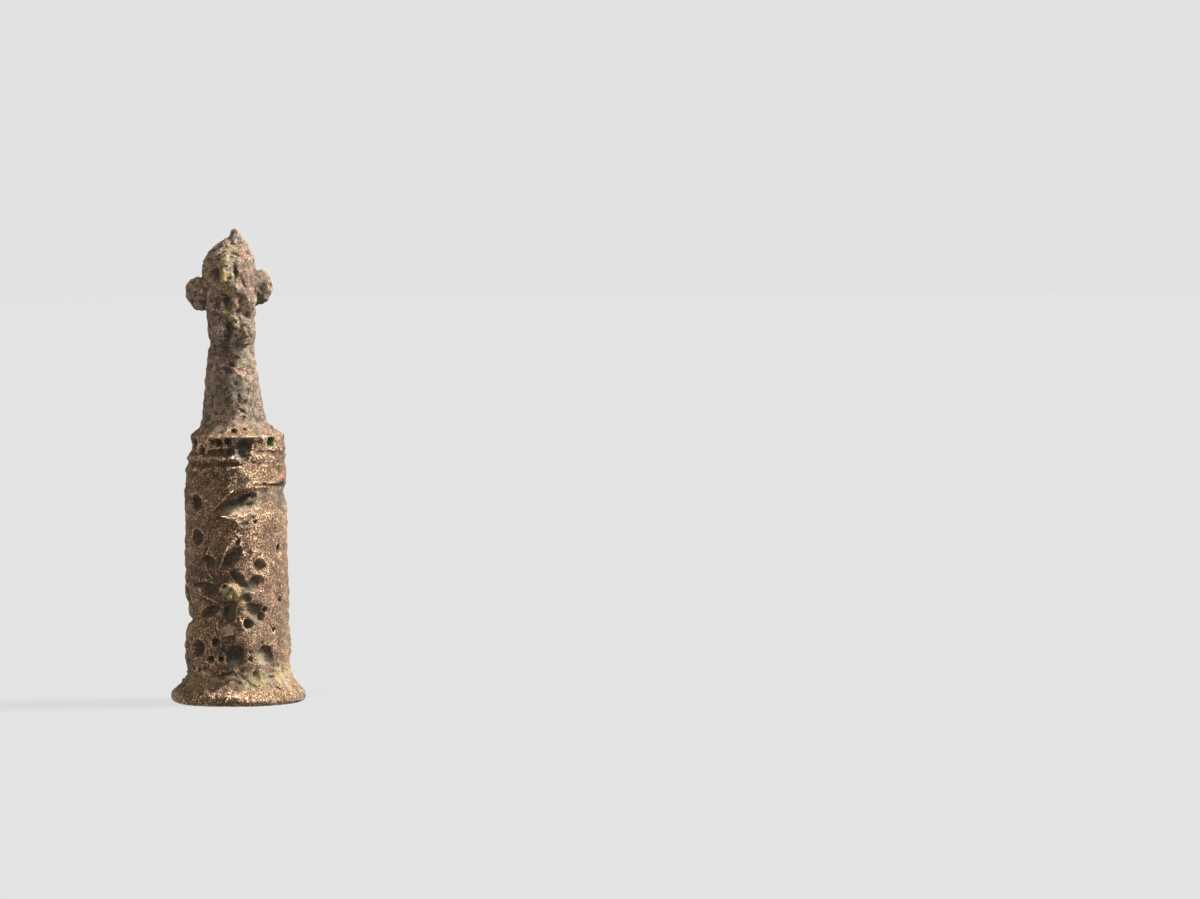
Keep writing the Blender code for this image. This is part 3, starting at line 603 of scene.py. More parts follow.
STAINS_AND_PAINTED_LIGHT = (
    # Green in the band's right pit with a painted shadow over its upper right; in the wide notch beside it,
    # near-black high up and a pale grey crust low at its left
    StainAndPaintedLight(47.5, 24.7, 0.45, 1.1, 1, "#466A38"),
    StainAndPaintedLight(51, 25, 0.22, 1.6, 1, "#1C1B16"),
    StainAndPaintedLight(9.5, 24.6, 0.5, 1.2, 1, "#262521"),
    StainAndPaintedLight(4, 23.7, 0.55, 0.8, 1.3, "#55585A"),
    # Near-black in the band's other pits
    StainAndPaintedLight(-73, 24.6, 0.5, 1.2, 1, "#1D1B15"),
    StainAndPaintedLight(-68, 23.95, 0.4, 0.9, 1, "#26231C"),
    StainAndPaintedLight(-66, 24.5, 0.35, 1.1, 1.2, "#1D1B15"),
    StainAndPaintedLight(-50, 23.9, 0.35, 1.2, 1, "#1A1914"),
    StainAndPaintedLight(-25, 24.65, 0.3, 1, 1, "#1E1B16"),
    StainAndPaintedLight(-12, 24.8, 0.28, 1, 1, "#1E1B16"),
    StainAndPaintedLight(-28, 22.9, 0.4, 0.9, 0.6, "#34352A"),
    StainAndPaintedLight(-5, 22.9, 0.35, 0.8, 0.6, "#34352A"),
    StainAndPaintedLight(-4, 24.4, 0.5, 0.5, 1, "#4B4A45"),
    # Rose and copper-red spots on the rims
    StainAndPaintedLight(65, 21.5, 0.5, 0.7, 1, "#B5786A"),
    StainAndPaintedLight(-55, 23.1, 0.6, 0.6, 0.5, "#946A4C"),
    # Shoulder: earthy film over the copper
    StainAndPaintedLight(-40, 26, 1.2, 0.6, 0.5, "#6A5C45"),
    StainAndPaintedLight(35, 26, 1.3, 0.6, 0.5, "#7A6A50"),
    # Leaf, star and globes: olive-grey films, and painted light and shade in the globes' bowls
    StainAndPaintedLight(-9, 18.3, 0.6, 0.8, 0.7, "#6C6146"),
    StainAndPaintedLight(3, 18.4, 0.8, 1, 0.6, "#8E7A64"),
    StainAndPaintedLight(9, 19.4, 0.6, 0.7, 0.6, "#3A3126"),
    StainAndPaintedLight(28, 18.9, 1.2, 0.5, 0.6, "#75674A"),
    StainAndPaintedLight(9, 17, 0.4, 0.8, 1, "#5F6A50"),
    StainAndPaintedLight(17, 17.8, 0.35, 0.8, 1, "#4A5342"),
    StainAndPaintedLight(-7.8, 10.7, 0.85, 0.7, 0.9, "#8E7B52"),
    StainAndPaintedLight(-2.5, 10.3, 0.35, 0.9, 1, "#9A8C52"),
    StainAndPaintedLight(10, 10.9, 0.7, 0.7, 1, "#4F4A3C"),
    StainAndPaintedLight(24, 8.2, 1.2, 0.5, 1, "#625D48"),
    StainAndPaintedLight(27.5, 12.9, 0.6, 0.6, 1, "#5C5646"),
    StainAndPaintedLight(-10.5, 7.15, 0.75, 0.9, 0.6, "#97856D"),
    # Painted light and shade in the drilled globes: in the middle one, a pale lit crescent low at the left and
    # a dark shaded core; in the right one, a pale floor that is partly painted light and a painted shadow at
    # its upper right
    StainAndPaintedLight(-6, 3.9, 0.5, 0.7, 1, "#85847A"),
    StainAndPaintedLight(-1, 4.8, 0.45, 1.1, 1, "#1F1D16"),
    StainAndPaintedLight(31, 4.4, 0.75, 0.9, 1, "#96886C"),
    StainAndPaintedLight(36.5, 5.1, 0.3, 1, 1, "#5B4C36"),
    StainAndPaintedLight(70, 7, 1.8, 0.4, 2.4, "#85795A"),
    StainAndPaintedLight(76, 17, 1.4, 0.4, 2.4, "#80755A"),
    # Soil film all along the foot's hollow curve
    StainAndPaintedLight(-78, 2.3, 1.2, 0.7, 0.5, "#6A5D40"),
    StainAndPaintedLight(-50, 2.1, 1.2, 0.7, 0.5, "#5D5238"),
    StainAndPaintedLight(-22, 2.3, 0.9, 0.8, 0.6, "#554B34"),
    StainAndPaintedLight(4, 2.4, 1, 0.7, 0.6, "#6E6040"),
    StainAndPaintedLight(-58, 1.8, 0.5, 0.9, 0.6, "#857238"),
    StainAndPaintedLight(-34, 1.9, 0.4, 0.9, 0.6, "#7C6C3A"),
    StainAndPaintedLight(9, 1.9, 0.4, 0.9, 0.6, "#8F8A55"),
    StainAndPaintedLight(26, 2.5, 1.2, 0.8, 0.6, "#7D6C48"),
    StainAndPaintedLight(50, 2.6, 1.4, 0.8, 0.6, "#8C7A56"),
    StainAndPaintedLight(78, 3, 1.4, 0.8, 0.8, "#907E58"),
    StainAndPaintedLight(38, 2.5, 0.35, 1.4, 1, "#4E4B55"),
    StainAndPaintedLight(14, 2.6, 0.6, 1, 0.7, "#70694A"),
    StainAndPaintedLight(58, 1.9, 0.6, 0.8, 1, "#8F8066"),
    StainAndPaintedLight(2, 1.9, 0.5, 0.8, 1, "#4B4433"),
    StainAndPaintedLight(28, 1.6, 0.5, 0.7, 1, "#7C6F52"),
    # Neck: pale chip by the collar, dark green mottles and a hollow with a curled copper ridge
    StainAndPaintedLight(22, 33.1, 0.6, 0.6, 1, "#8E9190"),
    StainAndPaintedLight(36, 32.5, 0.8, 0.6, 1, "#7C7A55"),
    StainAndPaintedLight(-49, 26.1, 0.5, 0.6, 1, "#3F4A35"),
    StainAndPaintedLight(-12, 30.3, 0.9, 0.7, 1, "#292B20"),
    StainAndPaintedLight(-6.4, 31.4, 0.4, 0.9, 1, "#2C252B"),
    StainAndPaintedLight(-30, 29.3, 0.6, 0.65, 1.6, "#2E3023"),
    StainAndPaintedLight(14, 29.8, 0.7, 0.65, 1.3, "#333627"),
    StainAndPaintedLight(28, 28.6, 0.5, 0.65, 1, "#2F2D22"),
    StainAndPaintedLight(-10, 27.7, 0.9, 0.6, 1.2, "#33291D"),
    StainAndPaintedLight(14, 31.2, 0.4, 0.9, 0.6, "#A67658"),
    StainAndPaintedLight(-29, 31.8, 0.35, 0.7, 1, "#94694D"),
    StainAndPaintedLight(12, 26.3, 1, 0.6, 0.6, "#8F6A55"),
    # Head: pale crest, ochre crown and forehead ridges, dark eyes, a painted shadow just right of the
    # forehead's right ridge, and painted shade along the muzzle cleft
    StainAndPaintedLight(-14, 40.3, 0.27, 1, 5.2, "#9E883E"),
    StainAndPaintedLight(0, 40.3, 0.24, 0.8, 3.2, "#8E8760"),
    StainAndPaintedLight(-8, 42.8, 0.5, 0.8, 0.7, "#7C7040"),
    StainAndPaintedLight(10, 43, 0.4, 0.8, 0.8, "#7A6F42"),
    StainAndPaintedLight(-15, 38.9, 0.24, 0.8, 1.3, "#A9923F"),
    StainAndPaintedLight(-13, 36.8, 0.3, 0.7, 1.6, "#8C8B40"),
    StainAndPaintedLight(-12, 42, 0.35, 0.8, 1, "#7E7648"),
    StainAndPaintedLight(10, 43.55, 0.45, 0.6, 1, "#8A8B88"),
    StainAndPaintedLight(31, 42.3, 0.6, 0.8, 1, "#94694D"),
    StainAndPaintedLight(-32, 40.4, 0.7, 0.9, 1, "#352D2B"),
    # Painted shadow just right of the forehead's right ridge
    StainAndPaintedLight(9, 40.7, 0.22, 1, 2.2, "#3E332C"),
    StainAndPaintedLight(23, 41, 0.6, 0.6, 1, "#5A4339"),
    # Painted shade along the muzzle cleft
    StainAndPaintedLight(-11, 37.9, 0.35, 0.7, 2, "#2A261E"),
    StainAndPaintedLight(-8, 35, 0.4, 1, 2.4, "#29281F"),
    StainAndPaintedLight(20, 35.1, 0.5, 0.8, 1, "#7C5444"),
    StainAndPaintedLight(27, 34.9, 0.2, 0.8, 1, "#7E8A92"),
    StainAndPaintedLight(26, 37.2, 0.4, 0.7, 2.6, "#A8927B"),
    StainAndPaintedLight(10, 38.3, 0.7, 0.6, 1.2, "#7A5643"),
    StainAndPaintedLight(30, 39.6, 1.3, 0.6, 1.5, "#6B4B3B"),
    StainAndPaintedLight(8, 36.9, 0.7, 0.5, 1.2, "#6F4F3E"),
    StainAndPaintedLight(50, 40.4, 1.2, 0.6, 1, "#6A5345"),
    StainAndPaintedLight(50, 36.4, 1.2, 0.6, 1, "#6A5345"),
    StainAndPaintedLight(64, 30, 1.1, 0.5, 2.2, "#75684F"),
)

SOIL_PATCHES = (
    # Forehead ridges and crown
    Patch(-14, 40.2, 0.18, 0.9, 6),
    Patch(1, 40.4, 0.16, 0.5, 4),
    Patch(-17, 38.9, 0.24, 0.9),
    Patch(-10, 43, 0.45, 0.8),
    Patch(-14, 36.8, 0.25, 0.8),
    # Star's knob
    Patch(-8, 10.7, 0.8, 0.9, 0.9),
    # Top of the foot and the lowest part of the barrel's right side
    Patch(-55, 2.3, 1.3, 0.6, 0.5),
    Patch(-30, 2.3, 1.4, 0.55, 0.5),
    Patch(-5, 2.4, 1.6, 0.6, 0.5),
    Patch(25, 2.5, 1.7, 0.7, 0.5),
    Patch(50, 2.6, 1.7, 0.7, 0.6),
    Patch(85, 3, 1.6, 0.55, 0.6),
    Patch(74, 5, 0.9, 0.4, 2),
    Patch(150, 2.6, 2.2, 0.6, 0.5),
    Patch(-120, 2.6, 2.2, 0.55, 0.5),
    Patch(180, 2.4, 2.2, 0.5, 0.5),
    Patch(120, 10, 2, 0.3, 2.5),
)

# Stretches of the barrel eaten into small pores
POROUS_PATCHES = (
    Patch(10, 16.2, 0.9, 0.9, 1.4),
    Patch(17, 14.6, 0.7, 0.8, 1.2),
    Patch(14, 11.9, 0.5, 0.7),
    Patch(30, 6.6, 0.8, 0.5),
    Patch(-35, 3.3, 1.2, 0.8, 0.5),
)


# Inputs of the corrosion tree that are sizes, each from the body's value of the same name
CORROSION_SIZES = (
    "Wave Height",
    "Wave Size",
    "Lump Height",
    "Lump Size",
    "Pit Depth",
    "Pit Spacing",
    "Crust Height",
    "Crust Size",
    "Hollow Scale",
)

# Heights in millimetres, and how strong each kind of weathering is at them
WEATHERED = {
    Weathering.WORN: ((0, 1.5, 2.6, 6, 21, 24, 25.4, 26.4, 45), (1, 1, 0.4, 0.8, 0.9, 0.7, 0.5, 0.2, 0.1)),
    Weathering.PITTED: ((0, 2.6, 6, 9, 21, 22.6, 25, 27, 45), (0.3, 0.4, 0.3, 0.15, 0.1, 0.6, 0.6, 0.3, 0.3)),
    Weathering.LUMPY: ((0, 2, 4, 21, 23, 25, 27, 33, 35, 45), (0.7, 0.9, 0.4, 0.3, 1.3, 1.3, 0.5, 0.9, 2, 2)),
}


@dataclass
class SealBody:
    """The casting itself: foot, engraved barrel, band, neck and head in one corroded skin."""

    node: str = "cylinder_seal"
    voxel: float = 0.137 * MM
    smoothing_passes: int = 4
    wear_passes: int = 14
    warp_height: float = 0.06 * MM
    warp_size: float = 1.5 * MM
    warp_waves: int = 14
    wave_height: float = 0.06 * MM
    wave_size: float = 2.6 * MM
    lump_height: float = 0.07 * MM
    lump_size: float = 0.55 * MM
    pit_depth: float = 0.13 * MM
    pit_spacing: float = 0.36 * MM
    crust_height: float = 0.12 * MM
    crust_size: float = 0.55 * MM
    hollow_scale: float = 0.22 * MM
    # Vertices of the loose triangles that are nearer than this are one
    merge_distance: float = 0.0005 * MM
    smoothing_share: float = 0.5
    seed: float = 7.0
    # The rest is in millimetres and degrees, as the marks are.
    # The sole is cut straight, and the tool marks above it wander more and more up to this height
    firm_foot: float = 1.5
    # Marks above this height are on the worn face, and keep this share of their depth
    face_foot: float = 33.9
    face_wear: float = 0.7
    # Nothing so near the axis is moved
    still_core: float = 0.5
    # The barrel's plain surface at two heights, where its engraved field lies, and how deep a floor is
    barrel_heights: tuple[float, float] = (2.7, 22.4)
    barrel_radii: tuple[float, float] = (4.98, 4.76)
    field_reach: tuple[float, float] = (3.2, 22.3)
    engraved_depth: float = 0.5
    barrel_swell: float = 0.08
    swell_heights: tuple[float, float, float, float] = (3.5, 5, 21.5, 22.3)
    # Middle and half width of each ladder of strokes on the neck, in degrees, and its reach
    hatched: tuple[tuple[float, float], ...] = ((112.0, 34.0), (-150.0, 40.0))
    hatch_reach: tuple[float, float] = (26.4, 29.9)
    hatch_depth: float = 0.04
    hatch_pitch: float = 0.62
    hatch_waver: float = 0.15
    hatch_sharpness: float = 1.6
    # How far the upright strokes go past the level ones, and the square of their half width
    upright_overshoot: float = 0.2
    upright_spread: float = 0.02
    neck_radius: float = 2.7
    # Stains wander further than the tool marks do, and in finer curves
    stain_wander: float = 2.2
    stain_fineness: float = 2.0
    # Times its radius at which a stain has quite faded
    stain_reach: float = 1.5
    # Heights, and the share of extra rounding that wear gave the lip and the head at them
    rounded_heights: tuple[float, ...] = (24, 24.7, 25.3, 26, 33.5, 34.5)
    rounded_shares: tuple[float, ...] = (0, 1, 1, 0, 0, 1)
    # Heights, and how far the hand-made axis is off to the side at them
    axis_heights: tuple[float, ...] = (
        0, 20, 23.2, 25.4, 26.6, 29, 32, 33.2, 34.6, 36.5, 38.7, 40, 41.4, 42.1, 43, 43.7, 44.4,
    )
    axis_shifts: tuple[float, ...] = (
        0, -0.08, 0.06, 0.14, -0.14, -0.27, -0.43, -0.37, -0.18,
        -0.28, -0.17, -0.3, -0.24, -0.14, -0.03, -0.1, -0.3,
    )

    def casting(self) -> bpy.types.Object:
        """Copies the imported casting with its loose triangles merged.

        Returns:
            A closed copy at the origin.
        """
        source = bpy.data.objects[self.node]
        mesh = source.data.copy()
        mesh.transform(source.matrix_world)
        shape = bmesh.new()
        shape.from_mesh(mesh)
        bmesh.ops.remove_doubles(shape, verts=shape.verts, dist=self.merge_distance)
        shape.to_mesh(mesh)
        shape.free()
        copy = bpy.data.objects.new("casting", mesh)
        bpy.context.scene.collection.objects.link(copy)
        return copy

    def skin(self) -> bpy.types.Object:
        """Lays an even net of small faces over the casting and rounds its facets.

        Returns:
            The fine mesh, ready to be marked.
        """
        copy = self.casting()
        remesh = copy.modifiers.new("net", "REMESH")
        remesh.mode = "VOXEL"
        remesh.voxel_size = self.voxel
        remesh.use_smooth_shade = True
        smooth = copy.modifiers.new("round", "SMOOTH")
        smooth.factor = self.smoothing_share
        smooth.iterations = self.smoothing_passes
        fine = evaluated_copy(copy, "seal_skin")
        bpy.data.objects.remove(copy)
        weight = np.interp(self.points(fine)[:, 2], self.rounded_heights, self.rounded_shares)
        group = fine.vertex_groups.new(name="worn_round")
        for vertex in np.flatnonzero(weight > 0):
            group.add([int(vertex)], float(weight[vertex]), "REPLACE")
        smooth = fine.modifiers.new("wear", "SMOOTH")
        smooth.factor = self.smoothing_share
        smooth.iterations = self.wear_passes
        smooth.vertex_group = group.name
        worn = evaluated_copy(fine, "seal_worn")
        bpy.data.objects.remove(fine)
        return worn

    def warp(self, rows: np.ndarray) -> np.ndarray:
        """Smooth uneven shifts that make the tool marks look cut by hand.

        Args:
            rows: Vertices in millimetres.

        Returns:
            A shift for each vertex, in millimetres.
        """
        chance = np.random.default_rng(int(self.seed))
        shift = np.zeros_like(rows)
        for _ in range(self.warp_waves):
            way = chance.normal(size=3)
            way *= math.tau / (self.warp_size / MM) / np.linalg.norm(way) * chance.uniform(0.6, 1.7)
            push = chance.normal(size=3)
            shift += np.outer(np.sin(rows @ way + chance.uniform(0, math.tau)), push)
        return shift * self.warp_height / MM / math.sqrt(self.warp_waves)

    @staticmethod
    def points(piece: bpy.types.Object) -> np.ndarray:
        """Reads an object's vertices.

        Args:
            piece: The object.

        Returns:
            Rows of x, y and z in millimetres.
        """
        flat = np.empty(len(piece.data.vertices) * 3)
        piece.data.vertices.foreach_get("co", flat)
        return flat.reshape(-1, 3) / MM

    @staticmethod
    def store(piece: bpy.types.Object, name: str, values: np.ndarray) -> None:
        """Writes one number or one colour for each vertex.

        Args:
            piece: The object whose mesh gets the attribute.
            name: Name of the attribute.
            values: One value, or one row of four, for each vertex.
        """
        kind, field = ("FLOAT_COLOR", "color") if values.ndim == 2 else ("FLOAT", "value")
        layer = piece.data.attributes.new(name, kind, "POINT")
        layer.data.foreach_set(field, values.astype(np.float32).ravel())

    def press_marks(self, piece: bpy.types.Object) -> None:
        """Presses the small marks and the neck's hatching into the mesh.

        Args:
            piece: The fine mesh.
        """
        rows = self.points(piece)
        rows += self.warp(rows) * np.clip(rows[:, 2] / self.firm_foot, 0, 1)[:, None]
        radius = np.hypot(rows[:, 0], rows[:, 1])
        angle = np.degrees(np.arctan2(rows[:, 0], -rows[:, 1]))
        sunk = np.zeros(len(rows))
        for mark in FINE_MARKS:
            turn = (angle - mark.angle + 180) % 360 - 180
            right = np.radians(turn) * radius
            up = rows[:, 2] - mark.height
            lean = math.radians(mark.tilt)
            along = (right * math.cos(lean) + up * math.sin(lean)) / mark.half_width
            across = (up * math.cos(lean) - right * math.sin(lean)) / mark.half_height
            inside = np.clip(1 - along**2 - across**2, 0, 1)
            kept = self.face_wear if mark.height > self.face_foot else 1.0
            # No mark reaches round to the far half
            sunk += kept * mark.depth * inside**mark.sharpness * (np.abs(turn) < 90)
        sunk += self.hatching(angle, rows[:, 2])
        sunk -= self.barrel_swell * np.interp(rows[:, 2], self.swell_heights, (0, 1, 1, 0))
        outer = radius > self.still_core
        rows[outer, :2] *= ((radius - sunk) / np.maximum(radius, 1e-6))[outer, None]
        self.store(piece, "depth", self.depth_in_barrel(rows))
        self.store(piece, "soil", np.max([self.patch(rows, spot) for spot in SOIL_PATCHES], axis=0))
        self.store(piece, "worn", self.weather(rows[:, 2], Weathering.WORN))
        porous = [self.patch(rows, spot) for spot in POROUS_PATCHES]
        porous.append(self.weather(rows[:, 2], Weathering.PITTED))
        self.store(piece, "pitted", np.max(porous, axis=0))
        self.store(piece, "lumpy", self.weather(rows[:, 2], Weathering.LUMPY))
        self.store(piece, "stain", self.stains_and_painted_light(rows))
        rows[:, 0] += np.interp(rows[:, 2], self.axis_heights, self.axis_shifts)
        piece.data.vertices.foreach_set("co", (rows * MM).ravel())
        piece.data.update()

    def hatching(self, angle: np.ndarray, height: np.ndarray) -> np.ndarray:
        """Two ladders of shallow level strokes round the neck.

        Args:
            angle: Degrees round the axis of each vertex.
            height: Height of each vertex in millimetres.

        Returns:
            How far each vertex sinks, in millimetres.
        """
        foot, top = self.hatch_reach
        sunk = np.zeros(len(angle))
        for middle, half in self.hatched:
            turn = (angle - middle + 180) % 360 - 180
            # Level strokes are the crests of a wave, a little uneven round the neck
            within = (np.abs(turn) < half) & (height > foot) & (height < top)
            waver = self.hatch_waver * np.sin(np.radians(3 * turn))
            wave = np.cos((height - foot + waver) / self.hatch_pitch * math.tau)
            crest = np.clip(1 - self.hatch_sharpness * (1 - wave), 0, 1)
            sunk += np.where(within, self.hatch_depth * crest, 0)
            # An upright stroke closes each end of the ladder
            aside = (np.abs(turn) - half) * np.radians(1) * self.neck_radius
            tall = (height > foot - self.upright_overshoot) & (height < top + self.upright_overshoot)
            sunk += np.where(tall, self.hatch_depth * np.exp(-(aside**2) / self.upright_spread), 0)
        return sunk

    def weather(self, height: np.ndarray, kind: Weathering) -> np.ndarray:
        """How strongly each height of the seal is weathered in one way.

        Args:
            height: Height of each vertex in millimetres.
            kind: The kind of weathering.

        Returns:
            A weight for each vertex, about one where it is usual.
        """
        return np.interp(height, *WEATHERED[kind])

    @staticmethod
    def corrosion_tree() -> bpy.types.NodeTree:
        """Geometry Nodes that roughen a skin with waves, lumps and pits and note its hollows.

        Returns:
            The tree, with a named input for each size.
        """
        sockets = dict.fromkeys((*CORROSION_SIZES, "Seed"), "NodeSocketFloat")
        sockets["Material"] = "NodeSocketMaterial"
        tree, given = new_geometry_tree("bronze_corrosion", sockets)
        add = partial(add_node, tree)
        place = add("GeometryNodeInputPosition").outputs[0]
        normal = add("GeometryNodeInputNormal").outputs[0]
        pitted, lumpy, soil = (
            add(NAMED_ATTRIBUTE, NUMBERS, {"Name": name}).outputs[0]
            for name in ("pitted", "lumpy", "soil")
        )
        scales = {}
        for label in ("Wave Size", "Lump Size", "Pit Spacing", "Crust Size"):
            size = {0: 1.0, 1: given.outputs[label]}
            scales[label] = add(MATH, DIVIDED, size).outputs[0]
        wave, lump, cake = (
            add(
                NOISE,
                {"noise_dimensions": "4D"},
                {"Vector": place, "W": given.outputs["Seed"], "Scale": scales[label], "Detail": detail},
            ).outputs["Fac"]
            for label, detail in (("Wave Size", 1.0), ("Lump Size", 3.0), ("Crust Size", 2.0))
        )
        # Broad waves everywhere, and lumps where the casting is rough
        wave = add(MATH, TIMES_PLUS, {0: wave, 1: 4.0, 2: -2.0}).outputs[0]
        wave = add(MATH, TIMES, {0: wave, 1: given.outputs["Wave Height"]}).outputs[0]
        lump = add(MATH, TIMES_PLUS, {0: lump, 1: 4.0, 2: -2.0}).outputs[0]
        lump = add(MATH, TIMES, {0: lump, 1: given.outputs["Lump Height"]}).outputs[0]
        rise = add(MATH, TIMES_PLUS, {0: lump, 1: lumpy, 2: wave}).outputs[0]
        # Round corrosion pits, as many as the place calls for
        cells = {"Vector": place, "W": given.outputs["Seed"], "Scale": scales["Pit Spacing"]}
        cells = add("ShaderNodeTexVoronoi", {"voronoi_dimensions": "4D"}, cells)
        bowl = add(RANGE, SOFT_STEP, {0: cells.outputs["Distance"], 1: 0.55, 2: 0.15}).outputs[0]
        lot = add("ShaderNodeSeparateXYZ", {}, {0: cells.outputs["Color"]}).outputs[0]
        chosen = add(MATH, {"operation": "LESS_THAN"}, {0: lot, 1: pitted}).outputs[0]
        pit = add(MATH, TIMES, {0: bowl, 1: chosen}).outputs[0]
        pit = add(MATH, TIMES, {0: pit, 1: given.outputs["Pit Depth"]}).outputs[0]
        rise = add(MATH, MINUS, {0: rise, 1: pit}).outputs[0]
        # Broken crust of soil
        cover = add(MATH, TIMES_PLUS, {0: cake, 1: 1.2, 2: soil}).outputs[0]
        cover = add(RANGE, SOFT_STEP, {0: cover, 1: 0.95, 2: 1.3}).outputs[0]
        mesh = {"Geometry": given.outputs["Geometry"], "Name": "crust", "Value": cover}
        mesh = add(STORE_ATTRIBUTE, NUMBERS, mesh).outputs[0]
        heap = add(MATH, TIMES_PLUS, {0: cake, 1: 3.0, 2: -1.0}).outputs[0]
        heap = add(MATH, TIMES, {0: heap, 1: cover}).outputs[0]
        heap = {0: heap, 1: given.outputs["Crust Height"], 2: rise}
        rise = add(MATH, TIMES_PLUS, heap).outputs[0]
        offset = add(VECTOR_MATH, SCALED, {0: normal, "Scale": rise}).outputs[0]
        mesh = add("GeometryNodeSetPosition", {}, {"Geometry": mesh, "Offset": offset}).outputs[0]
        # How far each point lies below its wide and its close surroundings, found by many and by few blurs
        for name, passes, share in (("hollow", 60, 1.0), ("crevice", 5, 0.22)):
            around = {"Value": place, "Iterations": passes}
            around = add("GeometryNodeBlurAttribute", {"data_type": "FLOAT_VECTOR"}, around).outputs[0]
            gap = add(VECTOR_MATH, MINUS, {0: around, 1: place}).outputs[0]
            below = add(VECTOR_MATH, {"operation": "DOT_PRODUCT"}, {0: gap, 1: normal}).outputs[1]
            size = add(MATH, TIMES, {0: given.outputs["Hollow Scale"], 1: share}).outputs[0]
            value = add(MATH, DIVIDED, {0: below, 1: size}).outputs[0]
            mesh = {"Geometry": mesh, "Name": name, "Value": value}
            mesh = add(STORE_ATTRIBUTE, NUMBERS, mesh).outputs[0]
        mesh = add("GeometryNodeSetShadeSmooth", {}, {"Geometry": mesh}).outputs[0]
        mesh = add("GeometryNodeRealizeInstances", {}, {"Geometry": mesh}).outputs[0]
        mesh = {"Geometry": mesh, "Material": given.outputs["Material"]}
        mesh = add("GeometryNodeSetMaterial", {}, mesh).outputs[0]
        add("NodeGroupOutput", {}, {0: mesh})
        return tree

    def patch(self, rows: np.ndarray, spot: Patch) -> np.ndarray:
        """Soft mask of one patch.

        Args:
            rows: Vertices in millimetres.
            spot: The patch.

        Returns:
            Its strength at each vertex, from one in its middle down to nothing.
        """
        turn = math.radians(spot.angle)
        bent = rows + self.stain_wander * self.warp(self.stain_fineness * rows)
        facing = bent[:, 0] * math.sin(turn) - bent[:, 1] * math.cos(turn)
        aside = bent[:, 0] * math.cos(turn) + bent[:, 1] * math.sin(turn)
        far = np.hypot(aside, (bent[:, 2] - spot.height) / spot.stretch) / spot.radius
        return spot.strength * np.clip(self.stain_reach - far, 0, 1) * (facing > 0)

    def depth_in_barrel(self, rows: np.ndarray) -> np.ndarray:
        """How deep each vertex lies under the barrel's plain surface.

        Args:
            rows: Vertices in millimetres.

        Returns:
            About one at an engraved floor, and nothing outside the engraved field.
        """
        height = rows[:, 2]
        plain = np.interp(height, self.barrel_heights, self.barrel_radii)
        in_field = (height > self.field_reach[0]) & (height < self.field_reach[1])
        return np.where(in_field, (plain - np.hypot(rows[:, 0], rows[:, 1])) / self.engraved_depth, 0)

    def stains_and_painted_light(self, rows: np.ndarray) -> np.ndarray:
        """Colour and strength at each vertex of the coloured patches, painted light and shade among them.

        Args:
            rows: Vertices in millimetres.

        Returns:
            Linear red, green and blue, and the strength as alpha.
        """
        tints = np.zeros((len(rows), 4))
        for stain in STAINS_AND_PAINTED_LIGHT:
            mask = self.patch(rows, stain)
            stronger = mask > tints[:, 3]
            tints[stronger, :3] = linear(stain.colour)[:3]
            tints[stronger, 3] = mask[stronger]
        return tints

    def build(self, bronze: bpy.types.Material) -> bpy.types.Object:
        """Makes the visible seal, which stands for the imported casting.

        Args:
            bronze: The material of its skin.

        Returns:
            The finished piece.
        """
        skin = self.skin()
        self.press_marks(skin)
        values = {size: getattr(self, size.lower().replace(" ", "_")) for size in CORROSION_SIZES}
        values |= {"Seed": self.seed, "Material": bronze}
        piece = grow(skin, self.corrosion_tree(), values, "seal_body")
        bpy.data.objects.remove(skin)
        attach(piece, "root")
        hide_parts(self.node)
        return piece


